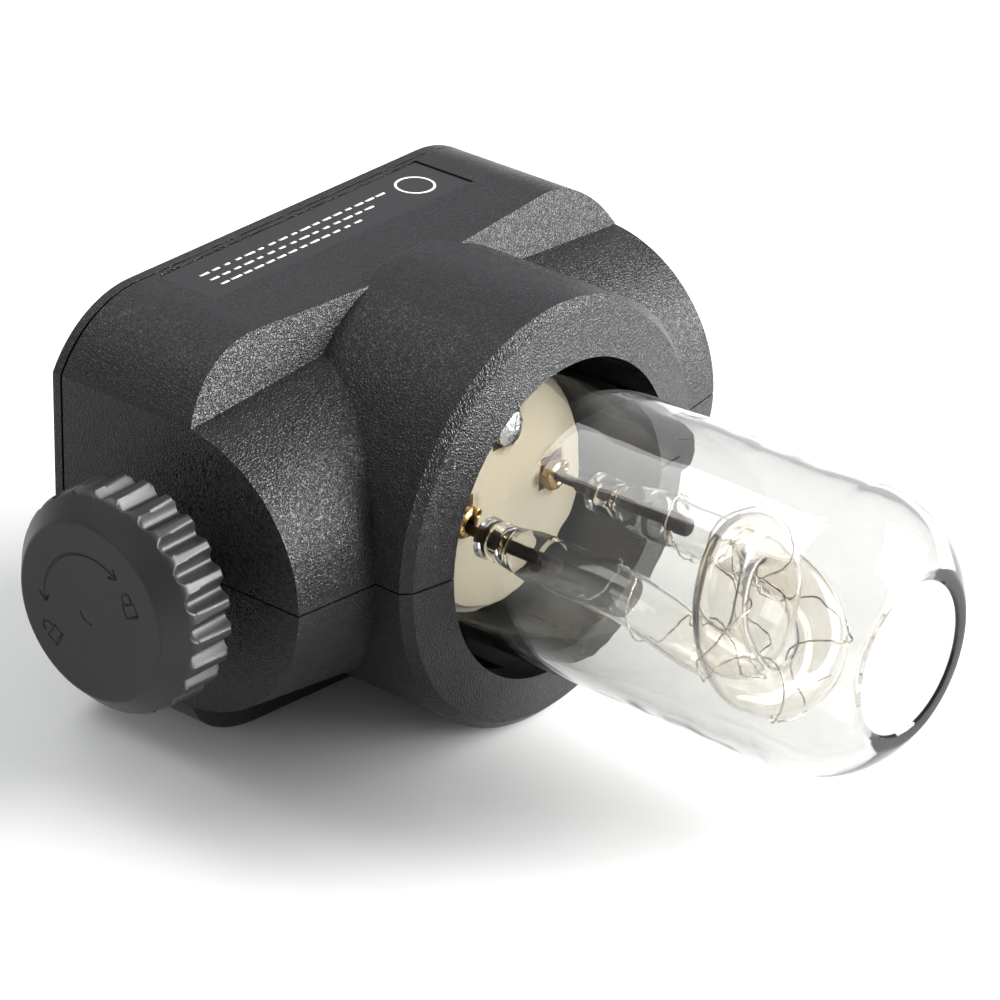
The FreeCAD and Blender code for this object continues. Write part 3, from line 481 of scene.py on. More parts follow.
def lathe(name: str, profile: Profile, axis: Vector, origin: Vector, segments: int, closed: bool = False,
          mark: Optional[Callable[[float, float], bool]] = None) -> bpy.types.Object:
    """Turn a profile about an axis.

    Args:
        name: the piece's name.
        profile: place along the axis and radius of each point, in metres.
        axis: the axis's direction.
        origin: a point on it, from which the profile is measured.
        segments: divisions round the axis.
        closed: whether the profile's last point joins its first.
        mark: says of a place along and a radius whether a face there takes the second material.

    Returns:
        The new object, with its place in its mesh.
    """
    shape = bmesh.new()
    turn = Vector((1, 0, 0)).rotation_difference(axis)
    rings: list[list[bmesh.types.BMVert]] = []
    for along, out in profile:
        if out < 1e-7:
            rings.append([shape.verts.new(origin + turn @ Vector((along, 0, 0)))])
            continue
        ring = []
        for step in range(segments):
            angle = 2 * math.pi * step / segments
            spoke = Vector((along, out * math.cos(angle), out * math.sin(angle)))
            ring.append(shape.verts.new(origin + turn @ spoke))
        rings.append(ring)
    pairs = list(zip(range(len(rings)), range(1, len(rings))))
    if closed:
        pairs.append((len(rings) - 1, 0))
    for first, second in pairs:
        low, high = rings[first], rings[second]
        second_finish = bool(mark) and mark((profile[first][0] + profile[second][0]) / 2,
                                            (profile[first][1] + profile[second][1]) / 2)
        for step in range(segments):
            after = (step + 1) % segments
            around = [low[step % len(low)], low[after % len(low)], high[after % len(high)], high[step % len(high)]]
            around = list(dict.fromkeys(around))
            if len(around) > 2:
                shape.faces.new(around).material_index = int(second_finish)
    piece = object_of(name, shape)
    piece.data.set_sharp_from_angle(angle=math.radians(CREASE))
    return piece


def object_of(name: str, shape: bmesh.types.BMesh) -> bpy.types.Object:
    """Finish a mesh under construction: normals outwards, smooth, linked to the scene.

    Args:
        name: the piece's name.
        shape: the mesh, which is freed.

    Returns:
        The new object.
    """
    bmesh.ops.recalc_face_normals(shape, faces=shape.faces)
    mesh = bpy.data.meshes.new(name)
    shape.to_mesh(mesh)
    shape.free()
    mesh.shade_smooth()
    return linked(name, mesh)


def spline_points(route: Sequence[Sequence[float]], resolution: int = 16) -> list[Vector]:
    """Points along the smooth curve that a route of control points makes.

    Args:
        route: the control points, in metres.
        resolution: points for each of the curve's spans.

    Returns:
        Points in order along the curve.
    """
    curve = bpy.data.curves.new("route", "CURVE")
    curve.dimensions = "3D"
    curve.resolution_u = resolution
    spline = curve.splines.new("NURBS")
    spline.points.add(len(route) - 1)
    for point, place in zip(spline.points, route):
        point.co = (*place, 1.0)
    spline.order_u = 4
    spline.use_endpoint_u = True
    holder = bpy.data.objects.new("route", curve)
    mesh = bpy.data.meshes.new_from_object(holder)
    points = [vertex.co.copy() for vertex in mesh.vertices]
    bpy.data.objects.remove(holder)
    bpy.data.curves.remove(curve)
    bpy.data.meshes.remove(mesh)
    return points


def frames(path: Sequence[Vector]) -> list[tuple[Vector, Vector, Vector]]:
    """A side and an up direction at each point of a path, carried along without twist.

    Args:
        path: points in order.

    Returns:
        Tangent, side and up at each point.
    """
    tangents = [(path[min(i + 1, len(path) - 1)] - path[max(i - 1, 0)]).normalized() for i in range(len(path))]
    side = tangents[0].orthogonal().normalized()
    found = []
    for index, tangent in enumerate(tangents):
        if index:
            side = tangents[index - 1].rotation_difference(tangent) @ side
        side = (side - tangent * side.dot(tangent)).normalized()
        found.append((tangent, side, tangent.cross(side)))
    return found


def swept(shape: bmesh.types.BMesh, path: Sequence[Vector], radius: Callable[[float], float], sides: int) -> None:
    """Add a closed round bar along a path to a mesh.

    Args:
        shape: the mesh to add to.
        path: points in order.
        radius: the bar's radius at a distance along the path; near zero it closes to a point.
        sides: divisions round the bar.
    """
    travelled, rings = 0.0, []
    for index, (place, (_, side, up)) in enumerate(zip(path, frames(path))):
        travelled += (place - path[index - 1]).length if index else 0.0
        size = radius(travelled)
        rings.append([shape.verts.new(place + side * size * math.cos(2 * math.pi * k / sides)
                                      + up * size * math.sin(2 * math.pi * k / sides)) for k in range(sides)])
    for low, high in zip(rings, rings[1:]):
        for k in range(sides):
            shape.faces.new((low[k], low[(k + 1) % sides], high[(k + 1) % sides], high[k]))
    shape.faces.new(rings[0][::-1])
    shape.faces.new(rings[-1])


def evenly(path: Sequence[Vector], step: float) -> list[Vector]:
    """Points at even distances along a path.

    Args:
        path: points in order.
        step: the distance, in metres.

    Returns:
        The new points, the first and last of the path among them.
    """
    lengths = [0.0]
    for before, after in zip(path, path[1:]):
        lengths.append(lengths[-1] + (after - before).length)
    count = max(2, round(lengths[-1] / step))
    found, index = [], 0
    for number in range(count + 1):
        target = lengths[-1] * number / count
        while index < len(path) - 2 and lengths[index + 1] < target:
            index += 1
        span = lengths[index + 1] - lengths[index]
        share = (target - lengths[index]) / span if span else 0.0
        found.append(path[index].lerp(path[index + 1], share))
    return found


def plain(piece: bpy.types.Object) -> bpy.types.Object:
    """Turn a piece with modifiers into a plain mesh of the same name.

    Args:
        piece: the object, which is removed.

    Returns:
        The object that takes its place.
    """
    name = piece.name
    mesh = bpy.data.meshes.new_from_object(piece.evaluated_get(bpy.context.evaluated_depsgraph_get()))
    bpy.data.objects.remove(piece)
    mesh.name = name
    return linked(name, mesh)


def dressed(piece: bpy.types.Object, *finishes: Finish) -> bpy.types.Object:
    """Give a piece its finishes, in the order of its material slots.

    Args:
        piece: the piece.
        finishes: one for each material slot.

    Returns:
        The same piece.
    """
    piece.data.materials.clear()
    for finish in finishes:
        piece.data.materials.append(finish.material())
    return piece


def fitted(piece: bpy.types.Object, body: str, slot: str, *nodes: str,
           finishes: Sequence[Finish] = ()) -> bpy.types.Object:
    """Dress a piece in its slot's finish or in given ones, and let it ride on its body and stand for CAD nodes.

    Args:
        piece: the piece.
        body: the body it moves with.
        slot: its material slot.
        nodes: the CAD nodes it stands for.
        finishes: finishes other than the slot's own.

    Returns:
        The same piece.
    """
    dressed(piece, *(finishes or (SLOT_FINISH[slot],)))
    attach(piece, body)
    if nodes:
        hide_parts(*nodes)
    log.info("%s: %d faces, rides on %s", piece.name, len(piece.data.polygons), body)
    return piece


def nodes_modifier(piece: bpy.types.Object, tree: bpy.types.NodeTree, values: dict[str, object]) -> None:
    """Put a geometry tree on a piece and set its named inputs.

    Args:
        piece: the object.
        tree: the geometry tree.
        values: what each named input is set to.
    """
    modifier = piece.modifiers.new(tree.name, "NODES")
    modifier.node_group = tree
    for item in tree.interface.items_tree:
        if item.item_type == "SOCKET" and item.in_out == "INPUT" and item.name in values:
            modifier[item.identifier] = values[item.name]


def geometry_tree(name: str, **kinds: str) -> tuple[bpy.types.NodeTree, bpy.types.NodeOutputs]:
    """A geometry tree with a mesh and named inputs coming in.

    Args:
        name: the tree's name.
        kinds: the kind of socket of each named input.

    Returns:
        The tree and the sockets of what comes in.
    """
    tree = bpy.data.node_groups.new(name, "GeometryNodeTree")
    tree.interface.new_socket(name="Geometry", in_out="INPUT", socket_type="NodeSocketGeometry")
    for label, kind in kinds.items():
        tree.interface.new_socket(name=label, in_out="INPUT", socket_type="NodeSocket" + kind)
    tree.interface.new_socket(name="Geometry", in_out="OUTPUT", socket_type="NodeSocketGeometry")
    return tree, add(tree, "NodeGroupInput").outputs


def completed(tree: bpy.types.NodeTree, geometry: Socket, material: Socket) -> bpy.types.NodeTree:
    """Send a tree's geometry out as plain mesh in one material.

    Args:
        tree: the tree.
        geometry: what it has made.
        material: the material's socket.

    Returns:
        The same tree.
    """
    solid = add(tree, "GeometryNodeRealizeInstances", {"Geometry": geometry}).outputs[0]
    coated = add(tree, "GeometryNodeSetMaterial", {"Geometry": solid, "Material": material}).outputs[0]
    add(tree, "NodeGroupOutput", {"Geometry": coated})
    return tree


def softened(node: str, name: str, width_mm: float, least_angle: float = 32.0) -> bpy.types.Object:
    """A copy of a CAD node whose sharp edges are broken, as a mould leaves them.

    Args:
        node: the CAD node.
        name: the new piece's name.
        width_mm: the width of the broken edge.
        least_angle: edges that turn by less than this many degrees stay.

    Returns:
        The new object.
    """
    shape = bmesh.new()
    shape.from_mesh(bpy.data.objects[node].data)
    bmesh.ops.remove_doubles(shape, verts=shape.verts, dist=1e-6)
    bmesh.ops.dissolve_limit(shape, angle_limit=math.radians(0.4), verts=shape.verts, edges=shape.edges)
    mesh = bpy.data.meshes.new(name)
    shape.to_mesh(mesh)
    shape.free()
    mesh.shade_smooth()
    piece = linked(name, mesh)
    bevel = piece.modifiers.new("edge", "BEVEL")
    bevel.width = width_mm * MM
    bevel.segments = 2
    bevel.limit_method = "ANGLE"
    bevel.angle_limit = math.radians(least_angle)
    bevel.use_clamp_overlap = True
    bevel.harden_normals = False
    shade = piece.modifiers.new("shade", "WEIGHTED_NORMAL")
    shade.keep_sharp = True
    return plain(piece)


# ---------------------------------------------------------------- housing
@dataclass
class Housing:
    """The two shells, the rear cover and the label.

    Attributes:
        edge_mm: the width of the shells' broken edges.
        cover_edge: the rear cover's edge width over the shells'.
        row_gap_mm: distance between the label's rows of dashes.
        rows: how many rows of dashes there are.
        row_start_mm: where the first row starts, from the label's corner.
        first_count: dashes in the first row; each next row has two more.
        dash_mm: a dash's step, length and height.
        ring_mm: the ring's outer and inner radius.
        ring_inset_mm: the ring's centre, in from the label's end.
        lift_mm: thickness of the ink.
    """

    edge_mm: float = 0.35
    cover_edge: float = 0.7
    row_gap_mm: float = 1.6
    rows: int = 3
    row_start_mm: Span = (4.0, 2.4)
    first_count: int = 13
    dash_mm: Point = (1.9, 1.7, 0.34)
    ring_mm: Span = (2.5, 2.2)
    ring_inset_mm: float = 5.2
    lift_mm: float = 0.02

    def build(self) -> None:
        """Make and dress every piece of the housing."""
        for node, slot, width in (("upper_shell", "shell", self.edge_mm), ("lower_shell", "shell", self.edge_mm),
                                  ("rear_plate", "rear_cover", self.edge_mm * self.cover_edge)):
            fitted(softened(node, node + "_skin", width), "housing", slot, node)
        fitted(self.label_marks(), "housing", "label", finishes=(PRINT_INK,))

    def dash_tree(self) -> bpy.types.NodeTree:
        """A tree that lays a row of short bars of uneven length along X.

        Returns:
            The tree.
        """
        tree, size = geometry_tree("row_of_dashes", Count="Int", Step="Float", Bar="Vector", Start="Vector",
                                   Seed="Int", Ink="Material")
        step = add(tree, "ShaderNodeCombineXYZ", {"X": size["Step"]}).outputs[0]
        line = add(tree, "GeometryNodeMeshLine", {"Count": size["Count"], "Start Location": size["Start"],
                                                  "Offset": step}).outputs["Mesh"]
        bar = add(tree, "GeometryNodeMeshCube", {"Size": size["Bar"]}).outputs["Mesh"]
        length = add(tree, "FunctionNodeRandomValue", {"Seed": size["Seed"], 2: 0.45, 3: 1.0}).outputs[1]
        scale = add(tree, "ShaderNodeCombineXYZ", {"X": length, "Y": 1.0, "Z": 1.0}).outputs[0]
        placed = add(tree, "GeometryNodeInstanceOnPoints", {"Points": line, "Instance": bar, "Scale": scale})
        return completed(tree, placed.outputs["Instances"], size["Ink"])

    def label_marks(self) -> bpy.types.Object:
        """Plain rows of dashes and a ring on the label, where printing would be.

        Returns:
            The marks, as one piece.
        """
        low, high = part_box("label_plate")
        tree = self.dash_tree()
        step, length, height = (size * MM for size in self.dash_mm)
        across, up = self.row_start_mm
        ink = self.lift_mm
        rows = []
        for row in range(self.rows):
            holder = linked("row", bpy.data.meshes.new("row"))
            start = Vector((low.x + across * MM, low.y + (up + row * self.row_gap_mm) * MM, high.z))
            nodes_modifier(holder, tree, {
                "Count": self.first_count + 2 * row, "Step": step, "Bar": (length, height, 2 * ink * MM),
                "Start": start, "Seed": 5 + row, "Ink": PRINT_INK.material()})
            rows.append(plain(holder))
        ring_centre = Vector((high.x - self.ring_inset_mm * MM, (low.y + high.y) / 2, high.z))
        outer, inner = self.ring_mm
        section = rounded([(-ink, outer, 0), (ink, outer, 0), (ink, inner, 0), (-ink, inner, 0)])
        rows.append(lathe("ring", section, Vector((0, 0, 1)), ring_centre, 48, closed=True))
        return joined("label_marks", rows)


def joined(name: str, pieces: Sequence[bpy.types.Object]) -> bpy.types.Object:
    """Join several plain pieces into one.

    Args:
        name: the new piece's name.
        pieces: what is joined; they are removed.

    Returns:
        The new object.
    """
    shape = bmesh.new()
    for piece in pieces:
        shape.from_mesh(piece.data)
        bpy.data.objects.remove(piece)
    return object_of(name, shape)


# ---------------------------------------------------------------- clamp knob
@dataclass
class ClampKnob:
    """The fluted clamp knob with its engraved face.

    Attributes:
        flutes: how many flutes it has round it.
        depth_mm: how deep a flute is cut.
        share: the part of a pitch that a flute takes.
        start_mm: where the flutes start, behind the face.
        face_round_mm: how far the face's edge falls away to the rim.
        mark_mm: the radius of the engraving tool.
        phase: the angle of the first flute, in radians.
        divisions: faces round the rim for each flute.
        neck_mm: the radius and length of the neck behind the grip.
    """

    flutes: int = 24
    depth_mm: float = 1.35
    share: float = 0.74
    start_mm: float = 1.9
    face_round_mm: float = 2.7
    mark_mm: float = 0.17
    phase: float = math.radians(10.9)
    divisions: int = 18
    neck_mm: Span = (9.0, 3.0)

    def build(self) -> None:
        """Make, engrave and dress the knob."""
        low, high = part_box("clamp_knob")
        self.face, self.end = low.x, high.x
        self.radius = (high.z - low.z) / 2
        self.centre = Vector((0, (low.y + high.y) / 2, (low.z + high.z) / 2))
        blank = self.blank()
        nodes_modifier(blank, self.flute_tree(), {
            "Flutes": float(self.flutes), "Depth": self.depth_mm * MM, "Share": self.share,
            "Rim": self.radius, "Start": self.face + self.start_mm * MM, "Phase": self.phase,
            "Plastic": SATIN_NYLON.material()})
        knob = plain(blank)
        knob.name = "fluted_knob"
        cutter = self.marks()
        cut = knob.modifiers.new("engraving", "BOOLEAN")
        cut.object = cutter
        cut.solver = "MANIFOLD"
        knob = plain(knob)
        bpy.data.objects.remove(cutter)
        knob.data.set_sharp_from_angle(angle=math.radians(50))
        fitted(knob, "knob", "knob_plastic", "clamp_knob")

    def blank(self) -> bpy.types.Object:
        """The turned form before it is fluted: face, rim, back and neck.

        Returns:
            The blank.
        """
        face, end, rim = self.face / MM, self.end / MM, self.radius / MM
        neck, neck_length = self.neck_mm
        back = end - neck_length
        turn = self.face_round_mm
        edge = rounded([(face, 0, 0), (face, rim - turn - 0.1, 0.8), (face + turn, rim - 0.2, 1.6),
                        (face + 6, rim - 0.1, 0)], 8)[:-1]
        skirt_start = edge[-1][0] / MM
        steps = 44
        skirt = [((skirt_start + (back - 0.4 - skirt_start) * k / steps) * MM,
                  (rim - 0.2 + 0.2 * k / steps) * MM) for k in range(1, steps + 1)]
        rear = rounded([(back - 0.4, rim, 0), (back, rim - 0.4, 0.0), (back, neck, 0.3), (end, neck, 0.3),
                        (end, 0, 0)], 3)[1:]
        return lathe("knob_blank", edge + skirt + rear, Vector((1, 0, 0)), self.centre,
                     self.flutes * self.divisions)

    def flute_tree(self) -> bpy.types.NodeTree:
        """A tree that cuts round-nosed flutes by holding the radius under a cutter's path.

        Returns:
            The tree.
        """
        tree, size = geometry_tree("flutes", Flutes="Float", Depth="Float", Share="Float", Rim="Float", Start="Float",
                                   Phase="Float", Plastic="Material")
        here = add(tree, "GeometryNodeInputPosition").outputs[0]
        parts = add(tree, "ShaderNodeSeparateXYZ", {0: here}).outputs
        known: dict[object, object] = {label: size[label] for label in ("Flutes", "Depth", "Share", "Rim", "Start",
                                                                        "Phase")}
        known.update(x=parts["X"], y=parts["Y"], z=parts["Z"], centre=self.centre.y)
        formula = (
            # how far round from the middle of a land, 0 there and 1 in the middle of a flute
            ("aside", "SUBTRACT", "y", "centre"), ("bearing", "ARCTAN2", "z", "aside"),
            ("angle", "SUBTRACT", "bearing", "Phase"), ("steps round", "MULTIPLY", "angle", "Flutes"),
            ("turns", "DIVIDE", "steps round", 2 * math.pi), ("fold", "PINGPONG", "turns", 0.5),
            ("across", "MULTIPLY", "fold", 2.0),
            # how far the cutter's nose falls short of here, in half pitches
            ("half round", "MULTIPLY", "Rim", math.pi), ("pitch", "DIVIDE", "half round", "Flutes"),
            ("nose", "ADD", "Start", "pitch"), ("gap", "SUBTRACT", "nose", "x"), ("short", "MAXIMUM", "gap", 0.0),
            # the cutter's round section and the depth it leaves
            ("wide", "DIVIDE", "across", "Share"), ("ahead", "DIVIDE", "short", "pitch"),
            ("wide squared", "MULTIPLY", "wide", "wide"), ("ahead squared", "MULTIPLY", "ahead", "ahead"),
            ("both", "ADD", "wide squared", "ahead squared"), ("away", "SQRT", "both"),
            ("away squared", "MULTIPLY", "away", "away"), ("inside", "SUBTRACT", 1.0, "away squared"),
            ("bowl", "MAXIMUM", "inside", 0.0), ("dip", "POWER", "bowl", 1.15),
            ("cut", "MULTIPLY", "dip", "Depth"), ("limit", "SUBTRACT", "Rim", "cut"),
            # the radius here, held under that limit
            ("aside squared", "MULTIPLY", "aside", "aside"), ("z squared", "MULTIPLY", "z", "z"),
            ("sum", "ADD", "aside squared", "z squared"), ("radius", "SQRT", "sum"),
            ("held", "MINIMUM", "radius", "limit"), ("whole", "MAXIMUM", "radius", 1e-6),
            ("share", "DIVIDE", "held", "whole"), ("new y", "MULTIPLY_ADD", "aside", "share", "centre"),
            ("new z", "MULTIPLY", "z", "share"))
        for result, operation, *terms in formula:
            inputs = {place: known.get(term, term) for place, term in enumerate(terms)}
            known[result] = add(tree, "ShaderNodeMath", inputs, operation=operation).outputs[0]
        moved = add(tree, "ShaderNodeCombineXYZ", {"X": known["x"], "Y": known["new y"], "Z": known["new z"]})
        cut = add(tree, "GeometryNodeSetPosition", {"Geometry": size["Geometry"], "Position": moved.outputs[0]})
        return completed(tree, cut.outputs["Geometry"], size["Plastic"])

    def on_face(self, radius_mm: float, degrees: float) -> Vector:
        """A point on the knob's face, from a radius and an angle from +Y towards +Z.

        Args:
            radius_mm: distance from the knob's axis.
            degrees: the angle.

        Returns:
            The point, in metres.
        """
        turn = math.radians(degrees)
        return Vector((self.face, self.centre.y + radius_mm * MM * math.cos(turn),
                       self.centre.z + radius_mm * MM * math.sin(turn)))

    def marks(self) -> bpy.types.Object:
        """The engraving tool's paths: a turning arrow, an open and a closed padlock and a centre arc.

        Returns:
            The tool, which is cut from the knob.
        """
        shape = bmesh.new()
        first, last, ring = -8.0, 126.0, 6.9
        lines = [[self.on_face(ring, first + (last - first) * k / 30) for k in range(31)],
                 [self.on_face(1.4, -8 - 95 * k / 12) for k in range(13)]]
        for end, inwards in ((first, 1), (last, -1)):
            for side in (-0.75, 0.75):
                lines.append([self.on_face(ring, end), self.on_face(ring + side, end + inwards * 8)])
        lines += self.padlock(self.on_face(7.3, -38.0), 32.0, True)
        lines += self.padlock(self.on_face(6.6, 154.0), 67.0, False)
        for line in lines:
            swept(shape, line, lambda _: self.mark_mm * MM, 8)
        return object_of("engraving_tool", shape)

    def padlock(self, middle: Vector, lean: float, is_open: bool) -> list[list[Vector]]:
        """The strokes of a padlock whose top points at a lean in degrees; an open one has its shackle lifted.

        Args:
            middle: the padlock's centre.
            lean: where its top points, in degrees.
            is_open: whether the shackle is lifted.

        Returns:
            The points of each stroke.
        """
        turn = math.radians(lean)
        up = Vector((0, math.cos(turn), math.sin(turn))) * 1.15 * MM
        across = Vector((0, math.sin(turn), -math.cos(turn))) * 1.15 * MM
        body = [(-0.8, -1.1), (0.8, -1.1), (0.8, 0.2), (-0.8, 0.2), (-0.8, -1.1)]
        loop = [(0.55 * math.cos(a), 0.75 + 0.6 * math.sin(a)) for a in (math.pi * k / 8 for k in range(9))]
        loop = loop + [(-0.55, 0.2)] if is_open else [(0.55, 0.2)] + loop + [(-0.55, 0.2)]
        return [[middle + across * a + up * b for a, b in stroke] for stroke in (body, loop)]


# ---------------------------------------------------------------- lamp
@dataclass
class GlassDome:
    """The open-ended dome, blown round and polished by the flame at its mouth.

    Attributes:
        wall_mm: glass thickness.
        shoulder_mm: where the straight part ends, before the mouth plane of the ring.
        lip_mm: radius of the mouth's outer edge.
        hole_mm: radius of the mouth.
        lip_drop_mm: how far the mouth's inner edge lies behind its outer one.
        land_mm: depth and width of the polished land in the mouth.
        segments: divisions round the axis.
    """

    wall_mm: float = 1.3
    shoulder_mm: float = 39.0
    lip_mm: float = 10.4
    hole_mm: float = 8.9
    lip_drop_mm: float = 0.4
    land_mm: Span = (1.3, 0.55)
    segments: int = 160

    def build(self) -> None:
        """Turn and dress the dome."""
        low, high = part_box("glass_dome")
        outer, back, front = (high.x - low.x) / 2 / MM, high.y / MM, low.y / MM
        inner = outer - self.wall_mm
        reach = -front - self.shoulder_mm
        outside = self.shoulder_arc(outer, self.lip_mm, reach)
        inside = self.shoulder_arc(inner, self.hole_mm, reach - self.lip_drop_mm)
        lip = self.lip(front)
        rings = 24
        straight = [back + (-self.shoulder_mm - back) * k / rings for k in range(rings)]
        deep, wide = self.land_mm
        profile = [(along * MM, outer * MM) for along in straight] + outside + lip + inside[::-1]
        profile += [(along * MM, inner * MM) for along in reversed(straight)]
        dome = lathe("blown_dome", profile, Vector((0, 1, 0)), Vector(), self.segments, closed=True,
                     mark=lambda along, out: along < (front + deep) * MM and out < (self.hole_mm + wide) * MM)
        fitted(dome, "lamp", "dome_glass", "glass_dome", finishes=(BLOWN_GLASS, CUT_EDGE))

    def shoulder_arc(self, radius: float, lip: float, reach: float) -> Profile:
        """The tangent round from the straight wall to the mouth, in metres.

        Args:
            radius: the straight wall's radius.
            lip: the radius it closes to.
            reach: how far it runs along the axis.

        Returns:
            The round's points.
        """
        drop = radius - lip
        turn = (reach * reach + drop * drop) / (2 * drop)
        sweep = math.degrees(math.asin(reach / turn))
        centre = (-self.shoulder_mm, radius - turn)
        return [(a * MM, r * MM) for a, r in arc(centre, turn, 90.0, 90.0 + sweep, 22)]

    def lip(self, front: float) -> Profile:
        """The polished edge of the mouth: a little bead, then the short land inside it.

        Args:
            front: where the dome ends, in millimetres.

        Returns:
            The bead's points, in metres.
        """
        middle = (self.lip_mm + self.hole_mm) / 2
        bead = [(front + 0.02, self.lip_mm - 0.25), (front, middle), (front + 0.08, self.hole_mm + 0.25)]
        return [(a * MM, r * MM) for a, r in bead]


@dataclass
class FlashTube:
    """The bent quartz tube with its seals, electrodes, ferrules and trigger winding.

    Attributes:
        radius_mm: outside radius of the tube.
        seal_mm: outside radius at the seals.
        bore_mm: inside radius.
        near_end_mm: where the near leg's seal ends, on the lamp axis.
        far_end_mm: where the far leg's seal ends.
        wire_mm: radius of the trigger wire.
        collars_mm: where the seals' rings are, from each end.
        joint_mm: where the seal is joined to the tube.
        slices_mm: length of one slice of the tube.
    """

    radius_mm: float = 3.1
    seal_mm: float = 2.35
    bore_mm: float = 2.62
    near_end_mm: float = 4.0
    far_end_mm: float = 0.9
    wire_mm: float = 0.12
    collars_mm: Point = (1.1, 2.0, 2.9)
    joint_mm: float = 9.8
    slices_mm: float = 0.45

    def route(self) -> list[Point]:
        """The tube's centreline as control points, in millimetres.

        Returns:
            The control points.
        """
        return [(-8.0, self.near_end_mm, -0.8), (-8.0, -4.0, -0.8), (-8.0, -12.0, -0.8), (-8.0, -18.5, -1.0),
                (-7.4, -24.0, -3.4), (-3.4, -27.4, -7.4), (1.6, -28.2, -6.6), (3.4, -28.4, -1.4),
                (3.0, -28.6, 4.4), (-0.6, -28.8, 8.4), (-6.0, -29.2, 8.2), (-9.2, -30.2, 3.2),
                (-9.2, -31.6, -3.4), (-5.2, -33.4, -8.8), (1.0, -34.4, -10.2), (7.0, -33.4, -8.0),
                (8.8, -30.2, -3.0), (8.2, -25.0, -0.2), (8.0, -18.0, 0.0), (8.0, -9.0, 0.0),
                (8.0, self.far_end_mm, 0.0)]

    def build(self) -> None:
        """Make and dress everything that the tube carries."""
        self.path = evenly(spline_points([tuple(v * MM for v in p) for p in self.route()], 24),
                           self.slices_mm * MM)
        for make, slot, node in (
                (self.glass, "tube_quartz", "tube_glass"), (self.electrodes, "tungsten", "electrodes"),
                (self.ferrules, "brass", "tube_eyelets"), (self.terminal, "solder", "trigger_terminal"),
                (self.winding, "nickel_wire", "trigger_wire")):
            fitted(make(), "lamp", slot, node)

    def length(self) -> float:
        """The centreline's length, in metres."""
        return sum((b - a).length for a, b in zip(self.path, self.path[1:]))

    def outline(self, far: float, total: float) -> float:
        """The tube's outside radius: closed ends, then three graded seal rings behind each electrode.

        Args:
            far: distance along the tube, in metres.
            total: the tube's length.

        Returns:
            The radius, in metres.
        """
        end = min(far, total - far) / MM
        nose = math.sqrt(max(0.0, 1 - max(0.0, 1 - end / 0.9) ** 2))
        cone = min(1.0, max(0.0, (end - 3.0) / 6.2))
        base = self.seal_mm + (self.radius_mm - 0.1 - self.seal_mm) * cone * cone * (3 - 2 * cone)
        ridges = 0.2 * sum(math.exp(-((end - place) / 0.3) ** 2) for place in self.collars_mm)
        joint = 0.1 * math.exp(-((end - self.joint_mm) / 0.3) ** 2)
        return max(0.9, base * nose + ridges + joint) * MM

    def bore(self, far: float, total: float) -> float:
        """The tube's inside radius: necked in round each electrode's rod.

        Args:
            far: distance along the tube, in metres.
            total: the tube's length.

        Returns:
            The radius, in metres.
        """
        end = min(far, total - far) / MM
        neck = 1.35  # clears the electrodes' rods
        blend = min(1.0, max(0.0, (end - 3.4) / 2.4))
        return (neck + (self.bore_mm - neck) * blend * blend * (3 - 2 * blend)) * MM

    def glass(self) -> bpy.types.Object:
        """The quartz: an outside and a bore, each its own closed skin, the bore facing inwards.

        Returns:
            The tube.
        """
        total = self.length()
        shape = bmesh.new()
        swept(shape, self.path, lambda far: self.outline(far, total), 40)
        piece = object_of("quartz_outside", shape)
        inner = bmesh.new()
        trim = 4
        cut = self.path[trim:-trim]
        offset = trim * total / (len(self.path) - 1)
        swept(inner, cut, lambda far: self.bore(far + offset, total), 32)
        bmesh.ops.recalc_face_normals(inner, faces=inner.faces)
        bmesh.ops.reverse_faces(inner, faces=inner.faces)
        hollow = bpy.data.meshes.new("bore")
        inner.to_mesh(hollow)
        inner.free()
        whole = bmesh.new()
        whole.from_mesh(piece.data)
        whole.from_mesh(hollow)
        whole.to_mesh(piece.data)
        whole.free()
        bpy.data.meshes.remove(hollow)
        piece.data.shade_smooth()
        piece.name = "xenon_tube"
        return piece

    def electrodes(self) -> bpy.types.Object:
        """Two stepped rods: a thick sleeve in each seal, a thin rod and a rough sintered tip.

        Returns:
            Both electrodes, as one piece.
        """
        pieces = []
        for x, z, start, rod_end, tip, thick in ((-8.0, -0.8, 6.6, -7.6, 0.8, 1.2),
                                                 (8.0, 0.0, 6.9, -13.6, 1.15, 0.95)):
            profile = rounded([(start, 0, 0), (start, 0.62, 0.1), (self.near_end_mm - 1.0, 0.62, 0),
                               (self.near_end_mm - 1.2, thick, 0.15), (0.4, thick, 0.2), (0.1, 0.78, 0.1),
                               (rod_end + 3.4, 0.78, 0.1), (rod_end + 3.2, tip, 0.15), (rod_end, tip, 0.35),
                               (rod_end, 0, 0)], 4)
            pieces.append(lathe("rod", profile, Vector((0, 1, 0)), Vector((x, 0, z)) * MM, 28))
        return joined("sintered_electrodes", pieces)

